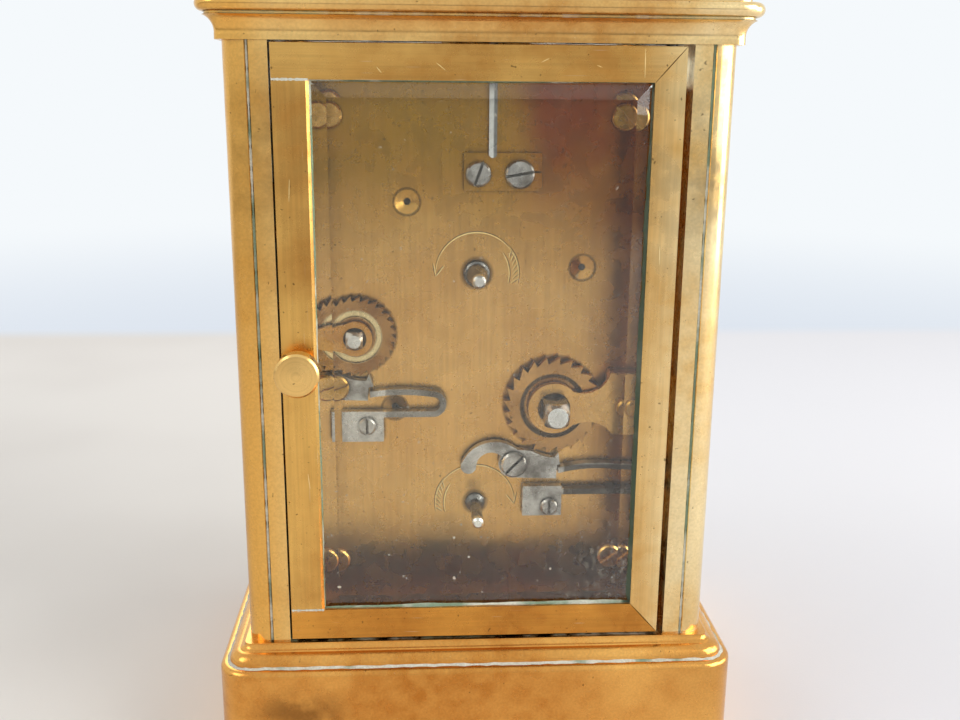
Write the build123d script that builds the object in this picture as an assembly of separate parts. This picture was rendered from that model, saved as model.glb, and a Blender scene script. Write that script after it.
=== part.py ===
from build123d import *
from math import acos, atan2, cos, degrees, hypot, pi, sin, sqrt
import os

# A brass carriage clock with alarm. Z is up, the dial faces -Y and the rear door faces +Y.
# The origin is the centre of the underside. All sizes are millimetres.

# Case
body_width = 72.0
body_depth = 62.0
case_clear_height = 90.2
base_height = 24.6
base_projection = 4.4
base_corner_radius = 5.0
base_shoulder_drop = 3.0
base_edge_radius = 0.9
base_wall = 2.4
base_deck = 2.6
bottom_plate_thickness = 1.2
bottom_screw_radius = 1.0
bottom_screw_reach = 6.2
boss_height = 7.0
deck_window_width = 44.0
deck_window_depth = 18.0
pillar_side = 6.6
column_radius = 3.4
groove_width = 0.7
groove_depth = 0.5
pillar_stud_radius = 1.5
pillar_stud_length = 3.6
cornice_height = 9.0
cornice_projection = 3.0
cornice_corner_radius = 4.0
cornice_wall = 5.0
window_width = 46.0
window_depth = 32.0
window_lip = 1.2

# Glass
glass_thickness = 2.2
glass_seat = 1.5
glass_play = 0.05
glass_inset = 2.2
bevel_width = 5.0
bevel_depth = 0.8
door_bevel_width = 3.3
door_bevel_depth = 0.9
top_glass_overlap = 1.5
clip_size = 4.0
clip_thickness = 0.7

# Rear door
door_thickness = 3.2
door_lip = 0.8
door_rise = 0.4
door_headroom = 0.3
door_hinge_gap = 1.0
door_lock_gap = 0.3
door_rail = 4.87
hinge_stile_width = 4.4
lock_stile_width = 5.1
stile_chamfer = 0.4
door_rebate = 1.0
hinge_pin_radius = 0.8
hinge_pin_reach = 1.6
hinge_pin_length = 6.0
hinge_from_edge = 1.9
running_play = 0.05
knob_height = 43.7
knob_head_radius = 3.25
knob_head_length = 3.0
knob_collar_radius = 2.5
knob_neck_radius = 1.4
knob_neck_length = 1.6

# Carrying handle
handle_pivot_height = 4.4
handle_rise = 28.0
handle_half_span = 30.6
handle_bar_thickness = 2.4
handle_bar_depth = 4.2
handle_corner_radius = 8.0
handle_eye_radius = 3.0
grip_half_length = 14.0
grip_radius = 2.9
handle_screw_radius = 1.2
post_ear_thickness = 3.0
post_radius = 2.8

# Movement frame
back_plate_inset = 13.5
plate_thickness = 2.2
plate_gap = 28.0
plate_side_gap = 2.6
plate_height = 84.4
movement_pillar_radius = 3.0
lower_pillar_x = 22.7
lower_pillar_up = 7.9
upper_pillar_x = 22.4
upper_pillar_up = 80.0
plate_screw_radius = 2.0
plate_screw_head = 0.9
fixing_screw_radius = 1.2
fixing_head_radius = 2.4
fixing_head_height = 1.2
oil_sink_radius = 2.0
oil_sink_depth = 0.6
hammer_pivot_skin = 0.7         # brass left behind the hammer's pivot, which does not show at the rear
fixing_inset = 2.0
fixing_short = 1.4
pillar_hole_depth = 4.0
platform_screw_radius = 0.6
platform_screw_reach = 3.0
platform_head_radius = 1.3
platform_head_height = 0.8
screw_end_play = 0.5
dial_foot_inset = 6.5
small_thread_radius = 0.6
small_thread_length = 1.8

# Places of the arbors: X, and height above the base
centre_at = (0.0, 56.0)
alarm_setting_at = (0.0, 17.8)
going_barrel_at = (-12.3, 34.8)
intermediate_at = (-16.6, 56.9)
third_at = (10.8, 67.1)
contrate_at = (-3.7, 71.6)
alarm_barrel_at = (19.0, 46.3)
alarm_wheel_at = (13.0, 34.2)
hammer_at = (15.5, 23.4)
minute_at = (-9.0, 56.0)

# Train
great_teeth = 72
intermediate_leaves = 18
intermediate_teeth = 60
centre_leaves = 12
centre_teeth = 80
third_leaves = 8
third_teeth = 72
contrate_leaves = 9
contrate_teeth = 60
escape_leaves = 8
escape_teeth = 15
cannon_teeth = 12
minute_teeth = 36
minute_leaves = 10
hour_teeth = 40
alarm_great_teeth = 62
alarm_leaves = 12
alarm_wheel_teeth = 15
arbor_radius = 1.0
pivot_radius = 0.5
shoulder_play = 0.3
wheel_thickness = 1.2
wheel_hub = 2.2
wheel_rim = 1.2
spoke_width = 1.3
pinion_margin = 0.2
centre_pipe_radius = 1.5
centre_pipe_gap = 2.6
escape_module = 0.26
contrate_thickness = 1.0
crown_tooth_length = 1.2
crown_tooth_height = 0.95
motion_thickness = 1.0
minute_stud_radius = 0.85

# Layers along Y, each counted forward from the front face of the back plate
intermediate_wheel_depth = 3.1
alarm_barrel_depth = 0.9
alarm_barrel_length = 9.9
going_barrel_depth = 6.3
going_barrel_length = 17.5
third_wheel_depth = 12.1
contrate_wheel_depth = 22.7
centre_wheel_depth = 25.7
alarm_wheel_depth = 12.1

# Barrels and winding work
barrel_wall = 1.0
barrel_lid = 1.0
drum_step = 0.4
barrel_front_pivot = 1.5
going_arbor_radius = 2.2
alarm_arbor_radius = 1.6
great_wheel_thickness = 1.8
going_pivot_radius = 2.5
going_square = 3.8
going_square_length = 8.5
going_hub_radius = 5.0
going_ratchet_teeth = 24
going_ratchet_radius = 7.95
going_ratchet_depth = 1.05
alarm_pivot_radius = 1.7
alarm_square = 2.6
alarm_square_length = 5.4
alarm_hub_radius = 3.4
alarm_ratchet_teeth = 28
alarm_ratchet_radius = 6.4
alarm_ratchet_depth = 0.8
ratchet_gap = 0.6
ratchet_thickness = 1.4
ratchet_dish_depth = 0.5
click_play = 0.06
click_drop = 0.8
going_click_reach = 7.5
alarm_click_reach = 5.6
ratchet_lean = 0.08
ratchet_lead = 0.016
click_screw_radius = 2.1
click_shoulder_radius = 1.1
click_spring_thickness = 0.95
going_spring_foot = (-14.1, -7.7, 40.6, 45.7)
going_spring_screw = (-12.0, 42.3)
going_spring_leg = 44.7
going_spring_bend = -25.9
going_spring_touch = (-13.45, 48.4)
going_spring_bow = 0.8
alarm_spring_foot = (14.8, 21.4, 53.7, 58.7)
alarm_spring_screw = (17.4, 56.4)
alarm_spring_leg = 58.2
alarm_spring_bend = 6.9
alarm_spring_touch = (16.9, 61.5)
alarm_spring_bow = 0.4
going_click_from_barrel = (6.2, -9.7)
alarm_click_from_barrel = (3.2, -8.1)
spring_width = 1.9
foot_screw_radius = 1.4
screw_head_height = 0.9
slot_width = 0.45
slot_depth = 0.5
cock_thickness = 1.0
cock_play = 0.4
eye_play = 0.1
going_eye_radius = 4.1
alarm_eye_radius = 2.7
alarm_cock_half_width = 2.6
alarm_cock_waist = 1.25
alarm_cock_inset = 0.2
going_cock_inset = 1.5
alarm_foot_screw_radius = 1.2
winding_tip_going = 1.6
winding_tip_alarm = 1.0
ratchet_dish_outer = 0.66
ratchet_dish_inner = 0.5
spring_coil_gap = 0.62
spring_coil_thickness = 0.3

# Setting arbors
centre_rear_radius = 2.0
centre_tip_radius = 0.9
centre_tip_length = 8.0
centre_front_radius = 0.8
cannon_pipe_radius = 1.3
hour_pipe_radius = 1.9
alarm_rear_radius = 1.55
alarm_stem_radius = 0.9
alarm_stem_length = 9.2

# Dial and hands
dial_gap = 4.3
dial_width = 50.0
dial_height = 78.0
dial_up = 46.0
dial_thickness = 1.0
dial_hole_radius = 2.4
dial_foot_radius = 0.8
hand_thickness = 0.4
minute_hand_length = 19.5
hour_hand_length = 13.0
alarm_hand_length = 7.2
hand_gap = 0.7
minute_hand_hub = 2.1
hour_hand_hub = 2.7
alarm_hand_hub = 1.5
hand_ring_radius = 1.7
alarm_ring_radius = 0.9
hand_ring_place = 0.68
hand_ring_lap = 0.8
hand_half_bar = 0.28
hand_half_point = 0.32
hand_ring_hole = 0.62
hand_ring_shift = 0.15
shown_hour = 10
shown_minute = 10
shown_alarm_hour = 6

# Platform escapement
platform_width = 25.0
platform_thickness = 1.5
platform_centre_x = -3.0
escape_depth = 25.5
escape_radius = 4.2
pallet_x, pallet_depth = -3.2, 19.8
balance_x, balance_depth = -2.2, 11.8
escape_height = 0.9
escape_thickness = 0.5
balance_height = 3.0
balance_rim_radius = 7.6
balance_rim_width = 1.1
balance_rim_height = 1.1
balance_screw_radius = 0.45
balance_screw_length = 0.7
balance_screws = 12
hairspring_height = 5.0
hairspring_turns = 6
hairspring_inner = 1.1
hairspring_pitch = 0.6
hairspring_thickness = 0.14
balance_cock_height = 6.2
balance_cock_thickness = 1.4
index_thickness = 0.6
index_strip_width = 1.2
index_strip_gap = 1.3
index_drop = 20.2
end_plate_thickness = 0.9
end_plate_half_width = 5.95
end_plate_half_height = 2.85
small_pivot_radius = 0.3
small_play = 0.05
escape_arbor_radius = 0.55
pallet_arbor_radius = 0.4
staff_radius = 0.5
roller_radius = 1.8
roller_thickness = 0.4
pivot_hole_depth = 0.8
escape_tooth_depth = 1.3
escape_rim_width = 0.6
pallet_hub = 0.9
escape_hub = 1.0
escape_spoke = 0.5
bridge_clearance = 0.6
arm_half_width = 1.5
bridge_head_radius = 0.95
bridge_head_height = 0.5
cock_head_radius = 1.0
cock_head_height = 0.6
cock_screw_place = 4.4
cock_foot_half_width = 5.6
cock_foot_half_depth = 2.0
cock_foot_inset = 3.0
cock_arm_half_width = 2.6
spring_stud_half_width = 0.5
spring_stud_depth = 0.8
balance_hub_radius = 1.3
balance_spoke_width = 1.2
index_ring_radius = 2.3
index_stub_width = 0.9
index_stub_length = 2.4
index_stub_place = 2.9
bridge_thickness = 0.7
bridge_foot_left = 2.6
bridge_foot_right = 4.8
cock_screw_radius = 0.5
leaf_half_length = 1.7
potence_top = 101.0
potence_thickness = 1.4
pallet_reach = 3.0
pallet_angle = 0.9
roller_low = 112.5
roller_pin_reach = 1.3
roller_pin_radius = 0.25
hairspring_width = 0.5
index_boss_radius = 1.2

# Alarm hammer and bell
bell_x = -3.0
bell_radius = 17.0
bell_thickness = 1.1
bell_rim_height = 5.0
bell_rise = 10.5
bell_post_radius = 2.0
bell_stud_radius = 1.0
alarm_wheel_radius = 5.5
alarm_tooth_depth = 1.3
verge_hub = 1.8
verge_reach = 6.4
verge_half_angle = 0.49
hammer_head_radius = 2.2
hammer_head_length = 4.0
hammer_head_height = 7.6
hammer_bell_gap = 1.2
hammer_stem_radius = 0.6
hammer_y = -1.5

# What follows from the sizes above
half_width = body_width / 2
half_depth = body_depth / 2
case_top = base_height + case_clear_height
roof_top = case_top + cornice_height
back_plate_rear = half_depth - back_plate_inset
back_plate_front = back_plate_rear - plate_thickness
front_plate_rear = back_plate_front - plate_gap
front_plate_front = front_plate_rear - plate_thickness
dial_back = front_plate_front - dial_gap
dial_front = dial_back - dial_thickness
plates_top = base_height + plate_height
platform_top = plates_top + platform_thickness
ratchet_low = back_plate_rear + ratchet_gap
ratchet_high = ratchet_low + ratchet_thickness
pieces = {}


def along_y(outline, y_low, y_high):
    """The solid between two values of Y whose section, drawn in X and Z, is outline."""
    plane = Plane(origin=(0, y_high, 0), x_dir=(1, 0, 0), z_dir=(0, -1, 0))
    return extrude(plane * outline, amount=y_high - y_low, dir=(0, -1, 0))


def along_z(outline, z_low, z_high):
    """The solid between two heights whose section, drawn in X and Y, is outline."""
    return extrude(Plane.XY.offset(z_low) * outline, amount=z_high - z_low, dir=(0, 0, 1))


def along_x(outline, x_low, x_high):
    """The solid between two values of X whose section, drawn in Y and Z, is outline."""
    plane = Plane(origin=(x_low, 0, 0), x_dir=(0, 1, 0), z_dir=(1, 0, 0))
    return extrude(plane * outline, amount=x_high - x_low, dir=(1, 0, 0))


def face_of(start, *moves):
    """A flat face. Each move is the next corner, or a pair: a point that an arc passes and its end."""
    edges, here = [], start
    for move in moves:
        if isinstance(move[0], tuple):
            edges.append(ThreePointArc(here, move[0], move[1]))
            here = move[1]
        else:
            edges.append(Line(here, move))
            here = move
    if hypot(here[0] - start[0], here[1] - start[1]) > 1e-6:
        edges.append(Line(here, start))
    return make_face(edges)


def block(x_low, x_high, y_low, y_high, z_low, z_high):
    """A rectangular block between its faces."""
    size = (x_high - x_low, y_high - y_low, z_high - z_low)
    middle = ((x_low + x_high) / 2, (y_low + y_high) / 2, (z_low + z_high) / 2)
    return Pos(*middle) * Box(*size)


def rod_y(at, radius, y_low, y_high):
    """A round rod along Y at an X and a Z."""
    return along_y(Pos(*at) * Circle(radius), y_low, y_high)


def rod_z(at, radius, z_low, z_high):
    """A round rod along Z at an X and a Y."""
    return along_z(Pos(*at) * Circle(radius), z_low, z_high)


def turned_y(at, profile):
    """A piece turned about an axis along Y, from points of radius and Y."""
    points = [(0, profile[0][1])] + list(profile) + [(0, profile[-1][1])]
    return Pos(at[0], 0, at[1]) * revolve(Polygon(points, align=None), Axis.Y)


def turned_z(at, profile):
    """A piece turned about an axis along Z, from points of radius and height."""
    points = [(0, profile[0][1])] + list(profile) + [(0, profile[-1][1])]
    flat = Plane.XZ * Polygon(points, align=None)
    return Pos(at[0], at[1], 0) * revolve(flat, Axis.Z)


def turned_x(at, profile):
    """A piece turned about an axis along X, from points of X and radius."""
    points = [(profile[0][0], 0)] + list(profile) + [(profile[-1][0], 0)]
    return Pos(0, at[0], at[1]) * revolve(Polygon(points, align=None), Axis.X)


def lifted(place):
    """An arbor's X and Z from its X and its height above the base."""
    return (place[0], place[1] + base_height)


def apart(a, b):
    """The distance between two places."""
    return hypot(b[0] - a[0], b[1] - a[1])


def bearing(a, b):
    """The direction from one place to another, in radians from the first axis."""
    return atan2(b[1] - a[1], b[0] - a[0])


def polar(at, radius, angle):
    """The point at a radius and an angle from a place."""
    return (at[0] + radius * cos(angle), at[1] + radius * sin(angle))


def slotted_screw(head_radius, head_height, shank_radius, shank_length, slot_turn):
    """A cheese-head screw along Z: its head stands on Z = 0 and its shank goes down."""
    chamfer_size = head_height * 0.3
    profile = [(shank_radius, -shank_length), (shank_radius, 0), (head_radius, 0),
               (head_radius, head_height - chamfer_size),
               (head_radius - chamfer_size, head_height)]
    screw = turned_z((0, 0), profile)
    cut = Pos(0, 0, head_height) * Box(3 * head_radius, slot_width, 2 * min(slot_depth, head_height * 0.6))
    return screw - Rot(0, 0, slot_turn) * cut


def facing_rear(shape, x, y, z):
    """A piece made along Z, stood on a face that looks to +Y. Its own X is then the viewer's right."""
    return Plane(origin=(x, y, z), x_dir=(-1, 0, 0), z_dir=(0, 1, 0)).location * shape


def facing_front(shape, x, y, z):
    """A piece made along Z, stood on a face that looks to -Y."""
    return Plane(origin=(x, y, z), x_dir=(1, 0, 0), z_dir=(0, -1, 0)).location * shape


def facing_down(shape, x, y, z):
    """A piece made along Z, stood on a face that looks down."""
    return Plane(origin=(x, y, z), x_dir=(1, 0, 0), z_dir=(0, 0, -1)).location * shape


def toothed(at, teeth, root, tip, turn, root_share, tip_share):
    """The outline of a toothed wheel with straight-sided teeth. One tooth stands at the angle turn."""
    pitch = 2 * pi / teeth
    points = []
    for n in range(teeth):
        for radius, share in ((root, -root_share), (tip, -tip_share), (tip, tip_share), (root, root_share)):
            points.append(polar(at, radius, turn + (n + share / 2) * pitch))
    return Polygon(points, align=None)


def wheel_outline(at, teeth, module, turn):
    """The outline of a driving wheel, whose radius is half its teeth times the module."""
    pitch_radius = teeth * module / 2
    return toothed(at, teeth, pitch_radius - 1.25 * module, pitch_radius + 0.95 * module, turn, 0.56, 0.2)


def pinion_outline(at, leaves, module, turn):
    """The outline of a pinion's leaves, thinner than the wheel's teeth to leave backlash."""
    pitch_radius = leaves * module / 2
    return toothed(at, leaves, pitch_radius - 1.3 * module, pitch_radius + 0.8 * module, turn, 0.42, 0.18)


def mesh(wheel_at, teeth, pinion_at, leaves):
    """Module, wheel turn and pinion turn with which a wheel's tooth stands in a pinion's gap."""
    module = 2 * apart(wheel_at, pinion_at) / (teeth + leaves)
    line = bearing(wheel_at, pinion_at)
    return module, line, line + pi + pi / leaves


def crossed_out(at, outline, hub_radius, rim_inner, spokes, spoke_width, turn=0.0):
    """A wheel outline with windows cut between a hub, a rim and straight spokes."""
    windows = Pos(*at) * (Circle(rim_inner) - Circle(hub_radius))
    for n in range(spokes):
        angle = turn + 360 * n / spokes
        windows -= Pos(*at) * (Rot(0, 0, angle)
                               * (Pos(rim_inner / 2, 0) * Rectangle(rim_inner + 1, spoke_width)))
    return outline - windows


def arbor_between_plates(at, radius=arbor_radius, pivot=pivot_radius, rear_cover=oil_sink_depth):
    """A plain steel arbor with a pivot in each plate; its rear end lies rear_cover below the outer face."""
    shoulder_rear = back_plate_front - shoulder_play
    shoulder_front = front_plate_rear + shoulder_play
    profile = [(pivot, front_plate_front), (pivot, shoulder_front), (radius, shoulder_front),
               (radius, shoulder_rear), (pivot, shoulder_rear), (pivot, back_plate_rear - rear_cover)]
    return turned_y(at, profile)


def spiral_strip(inner_radius, pitch, turns, thickness):
    """The flat outline of a strip wound in a spiral of half-turn arcs, from the inside out."""
    shift = pitch / 4
    inner, outer = [], []
    for side, edges in ((-thickness / 2, inner), (thickness / 2, outer)):
        radius = inner_radius + side
        middle = 0.0
        for half in range(2 * turns):
            way = 1 if half % 2 == 0 else -1
            start = (middle + way * radius, 0)
            through = (middle, way * radius)
            end = (middle - way * radius, 0)
            edges.append(ThreePointArc(start, through, end))
            radius += pitch / 2
            middle += way * 2 * shift
    closing = [Line(inner[0] @ 0, outer[0] @ 0), Line(inner[-1] @ 1, outer[-1] @ 1)]
    return make_face(inner + outer + closing)


def moulded_block(profile, width, depth, radius, z_low):
    """A block with the same moulding round all four sides and its corners turned to radius.

    The profile is a face drawn in a distance outward from the corner centre and a height.
    """
    corner_x, corner_y = width / 2 - radius, depth / 2 - radius
    upright = Plane.XZ * profile
    height = profile.bounding_box().max.Y
    corner = Pos(corner_x, corner_y, 0) * revolve(upright, Axis.Z, revolution_arc=90)
    side_x = Pos(corner_x, corner_y, 0) * extrude(upright, amount=2 * corner_y)
    side_y = Pos(corner_x, corner_y, 0) * (Rot(0, 0, 90) * extrude(upright, amount=-2 * corner_x))
    solid = Pos(0, 0, height / 2) * Box(2 * corner_x, 2 * corner_y, height)
    for shape in (corner, mirror(corner, about=Plane.YZ)):
        solid = solid + shape + mirror(shape, about=Plane.XZ)
    solid = solid + side_x + mirror(side_x, about=Plane.YZ)
    solid = solid + side_y + mirror(side_y, about=Plane.XZ)
    return Pos(0, 0, z_low) * solid


def bevelled_pane(width, height, thickness, bevel, depth):
    """A pane in X and Y from Z = 0 to its thickness, ground to a bevel round its upper face."""
    def section(size):
        half = size / 2
        return Polygon([(-half, 0), (half, 0), (half, thickness - depth), (half - bevel, thickness),
                        (bevel - half, thickness), (-half, thickness - depth)], align=None)
    across = extrude(Plane.XZ * section(width), amount=height / 2, both=True)
    along = extrude(Plane.YZ * section(height), amount=width / 2, both=True)
    return across & along


def mirrored(points):
    """The places of four like fasteners from the one at +X, +Y."""
    x, y = points
    return [(x, y), (-x, y), (-x, -y), (x, -y)]


centre = lifted(centre_at)
alarm_setting = lifted(alarm_setting_at)
going_barrel = lifted(going_barrel_at)
intermediate = lifted(intermediate_at)
third = lifted(third_at)
contrate = lifted(contrate_at)
alarm_barrel = lifted(alarm_barrel_at)
alarm_wheel = lifted(alarm_wheel_at)
hammer = lifted(hammer_at)
minute = lifted(minute_at)
lower_pillars = [(side * lower_pillar_x, base_height + lower_pillar_up) for side in (-1, 1)]
upper_pillars = [(side * upper_pillar_x, base_height + upper_pillar_up) for side in (-1, 1)]
plate_pillars = lower_pillars + upper_pillars
fixing_top = base_height + lower_pillar_up - fixing_short
pillar_middle = (half_width - pillar_side / 2, half_depth - pillar_side / 2)
fixing_places = [(x, y) for x in (-lower_pillar_x, lower_pillar_x)
                 for y in (front_plate_rear + fixing_inset, back_plate_front - fixing_inset)]
bottom_screw_place = (half_width + base_projection - base_corner_radius,
                      half_depth + base_projection - base_corner_radius)


# Base
inner_reach = base_corner_radius - base_projection
shoulder = base_height - base_shoulder_drop
rim = base_corner_radius
base_profile = face_of(
    (0, 0), (rim, 0), (rim, shoulder - base_edge_radius),
    ((rim - 0.293 * base_edge_radius, shoulder - 0.293 * base_edge_radius),
     (rim - base_edge_radius, shoulder)),
    (inner_reach + 3.3, shoulder), (inner_reach + 3.3, shoulder - 0.4), (inner_reach + 2.95, shoulder - 0.4),
    (inner_reach + 2.95, shoulder + 0.25),
    ((inner_reach + 2.45, shoulder + 1.4), (inner_reach + 1.35, shoulder + 1.9)),
    (inner_reach + 1.15, shoulder + 2.05),
    ((inner_reach + 0.75, shoulder + 2.3), (inner_reach + 0.5, shoulder + 2.75)),
    (inner_reach + 0.5, base_height), (0, base_height))
base_width = body_width + 2 * base_projection
base_depth = body_depth + 2 * base_projection
base = moulded_block(base_profile, base_width, base_depth, base_corner_radius, 0)
cavity = RectangleRounded(base_width - 2 * base_wall, base_depth - 2 * base_wall,
                          base_corner_radius - base_wall)
deck_under = base_height - base_deck
boss_top = bottom_plate_thickness + boss_height
base -= along_z(cavity, 0, deck_under)
deck_window = RectangleRounded(deck_window_width, deck_window_depth, 2.0)
window_middle_y = (back_plate_front + front_plate_rear) / 2
base -= along_z(Pos(0, window_middle_y) * deck_window, deck_under, base_height)
for place in mirrored(bottom_screw_place):
    base += rod_z(place, base_corner_radius - base_wall, bottom_plate_thickness, boss_top)
    base -= rod_z(place, bottom_screw_radius, bottom_plate_thickness, bottom_screw_reach)
for place in mirrored(pillar_middle) + fixing_places:
    base -= rod_z(place, fixing_screw_radius, deck_under, base_height)
hinge_x = -half_width + pillar_side + door_hinge_gap + hinge_from_edge
hinge_y = half_depth - door_thickness / 2
base -= rod_z((hinge_x, hinge_y), hinge_pin_radius + running_play, base_height - hinge_pin_reach - 0.2,
              base_height)
pieces["base_frame"] = base

bottom = along_z(offset(cavity, -glass_play), 0, bottom_plate_thickness)
bottom_screws = mirrored(bottom_screw_place) + [(bell_x, 0)]
for place in bottom_screws:
    bottom -= rod_z(place, bottom_screw_radius, 0, bottom_plate_thickness)
    bottom -= rod_z(place, 1.8, 0, 0.8)
pieces["base_bottom_plate"] = bottom

screws = [facing_down(slotted_screw(1.75, 0.6, 1.0, 4.0, 25.0 * n), x, y, 0.8)
          for n, (x, y) in enumerate(bottom_screws)]
for n, (x, y) in enumerate(mirrored(pillar_middle)):
    screws.append(facing_down(slotted_screw(fixing_head_radius, fixing_head_height, fixing_screw_radius,
                                            base_deck + 6.0, 40.0 * n), x, y, deck_under))
fixing_reach = fixing_top - deck_under
for n, (x, y) in enumerate(fixing_places):
    screws.append(facing_down(slotted_screw(fixing_head_radius, fixing_head_height, fixing_screw_radius,
                                            fixing_reach, 30.0 * n), x, y, deck_under))
pieces["base_screws"] = Compound(children=screws)

# Corner pillars: a square post with a quarter-round column, a V groove on each outer face and glass grooves
inner_x, inner_y = half_width - pillar_side, half_depth - pillar_side
axis_x, axis_y = half_width - column_radius, half_depth - column_radius
diagonal = column_radius * sqrt(0.5)
post = face_of((inner_x, inner_y), (half_width, inner_y), (half_width, axis_y),
               ((axis_x + diagonal, axis_y + diagonal), (axis_x, half_depth)), (inner_x, half_depth))
groove_x, groove_y = axis_x - groove_width / 2, axis_y - groove_width / 2
over = 0.1
post -= Polygon([(half_width + over, groove_y - groove_width / 2), (half_width - groove_depth, groove_y),
                 (half_width + over, groove_y + groove_width / 2)], align=None)
post -= Polygon([(groove_x - groove_width / 2, half_depth + over), (groove_x, half_depth - groove_depth),
                 (groove_x + groove_width / 2, half_depth + over)], align=None)
side_pane_x = half_width - glass_inset - glass_thickness / 2
front_pane_y = half_depth - glass_inset - glass_thickness / 2
slot = glass_thickness + 2 * glass_play
post -= Pos(side_pane_x, inner_y) * Rectangle(slot, 2 * glass_seat)
front_post = post - Pos(inner_x, front_pane_y) * Rectangle(2 * glass_seat, slot)


def pillar(section):
    """One pillar at +X, +Y, with the stud on its top and the hole for the screw in its foot."""
    solid = along_z(section, base_height, case_top)
    solid += rod_z(pillar_middle, pillar_stud_radius, case_top, case_top + pillar_stud_length)
    return solid - rod_z(pillar_middle, fixing_screw_radius, base_height, base_height + 6.0)


rear_pillar = pillar(post)
front_pillar = mirror(pillar(front_post), about=Plane.XZ)
pieces["corner_pillars"] = Compound(children=[rear_pillar, mirror(rear_pillar, about=Plane.YZ),
                                              front_pillar, mirror(front_pillar, about=Plane.YZ)])

# Cornice
reach = cornice_corner_radius - cornice_projection
cornice_profile = face_of(
    (0, 0), (reach + 0.6, 0), (reach + 0.6, 0.7),
    ((reach + 0.95, 2.3), (reach + 2.1, 3.2)),
    (reach + 1.8, 3.3), (reach + 1.8, 3.55), (reach + 1.95, 3.6),
    ((reach + 3.0, 4.6), (reach + 1.95, 5.6)),
    (reach + 1.2, 5.6), (reach + 1.2, 6.1),
    ((reach + 0.6, cornice_height - 1.0), (reach - 0.8, cornice_height - 0.3)),
    (reach - 0.8, cornice_height), (0, cornice_height))
cornice_width = body_width + 2 * cornice_projection
cornice_depth = body_depth + 2 * cornice_projection
cornice = moulded_block(cornice_profile, cornice_width, cornice_depth, cornice_corner_radius, case_top)
roof_under = roof_top - window_lip - glass_thickness
hollow = Rectangle(body_width - 2 * cornice_wall, body_depth - 2 * cornice_wall)
stud_bosses = [rod_z(place, 3.2, case_top, roof_under) for place in mirrored(pillar_middle)]
cornice -= along_z(hollow, case_top, roof_under)
for boss in stud_bosses:
    cornice += boss
pane_width = window_width + 2 * top_glass_overlap
pane_depth = window_depth + 2 * top_glass_overlap
cornice -= along_z(Rectangle(window_width, window_depth), roof_under, roof_top)
cornice -= along_z(Rectangle(pane_width + 2 * glass_play, pane_depth + 2 * glass_play), roof_under,
                   roof_top - window_lip)
for place in mirrored(pillar_middle):
    cornice -= rod_z(place, pillar_stud_radius, case_top, case_top + pillar_stud_length)
cornice -= rod_z((hinge_x, hinge_y), hinge_pin_radius + running_play, case_top,
                 case_top + hinge_pin_reach + 0.2)
handle_pivot_z = roof_top + handle_pivot_height
post_x = handle_half_span - handle_bar_thickness / 2 - running_play - post_ear_thickness / 2
post_stud_radius = 1.3
for side in (-1, 1):
    cornice -= rod_z((side * post_x, 0), post_stud_radius, roof_top - 2.4, roof_top)
pieces["cornice"] = cornice

pieces["top_glass"] = Pos(0, 0, roof_under) * bevelled_pane(pane_width, pane_depth, glass_thickness,
                                                            bevel_width, bevel_depth)
clip_middle = pane_width / 2 + clip_size / 2 - top_glass_overlap
clips = [block(x - clip_size / 2, x + clip_size / 2, y - clip_size / 3, y + clip_size / 3,
               roof_under - clip_thickness, roof_under)
         for x in (-clip_middle, clip_middle) for y in (-window_depth / 4, window_depth / 4)]
pieces["top_glass_clips"] = Compound(children=clips)

# Fixed panes, standing in the pillars' grooves between the base and the cornice
side_pane_width = body_depth - 2 * pillar_side + 2 * glass_seat - 2 * glass_play
side_pane = bevelled_pane(side_pane_width, case_clear_height, glass_thickness, bevel_width, bevel_depth)
side_turn = Plane(origin=(side_pane_x - glass_thickness / 2, 0, base_height + case_clear_height / 2),
                  x_dir=(0, 1, 0), z_dir=(1, 0, 0)).location
right_pane = side_turn * side_pane
pieces["side_glasses"] = Compound(children=[right_pane, mirror(right_pane, about=Plane.YZ)])
front_pane_width = body_width - 2 * pillar_side + 2 * glass_seat - 2 * glass_play
front_pane = bevelled_pane(front_pane_width, case_clear_height, glass_thickness, bevel_width, bevel_depth)
pieces["front_glass"] = facing_front(front_pane, 0, -front_pane_y + glass_thickness / 2,
                                     base_height + case_clear_height / 2)

# Rear door: a mitred frame of two rails and the hinge stile, and a separate lock stile between the rails
hinge_edge = -half_width + pillar_side + door_hinge_gap
lock_edge = half_width - pillar_side - door_lock_gap
opening_left = hinge_edge + hinge_stile_width
opening_right = lock_edge - lock_stile_width
door_bottom = base_height + door_rise
door_top = case_top - door_headroom
opening_bottom = door_bottom + door_rail
opening_top = door_top - door_rail
door_front = half_depth - door_thickness
lip_under = half_depth - door_lip
pane_left, pane_right = opening_left - door_rebate, opening_right + door_rebate
pane_bottom, pane_top = opening_bottom - door_rebate, opening_top + door_rebate
rebate = block(pane_left, pane_right, door_front, lip_under, pane_bottom, pane_top)
mid_x, mid_z = (pane_left + pane_right) / 2, (pane_bottom + pane_top) / 2
pin_holes = [rod_z((hinge_x, hinge_y), hinge_pin_radius, door_bottom, door_bottom + hinge_pin_length),
             rod_z((hinge_x, hinge_y), hinge_pin_radius, door_top - hinge_pin_length, door_top)]


def door_piece(corners):
    """A flat bar of the door frame, rebated for the pane and drilled for the hinge pins."""
    bar = along_y(Polygon(corners, align=None), door_front, half_depth) - rebate
    for hole in pin_holes:
        bar -= hole
    return bar


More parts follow.
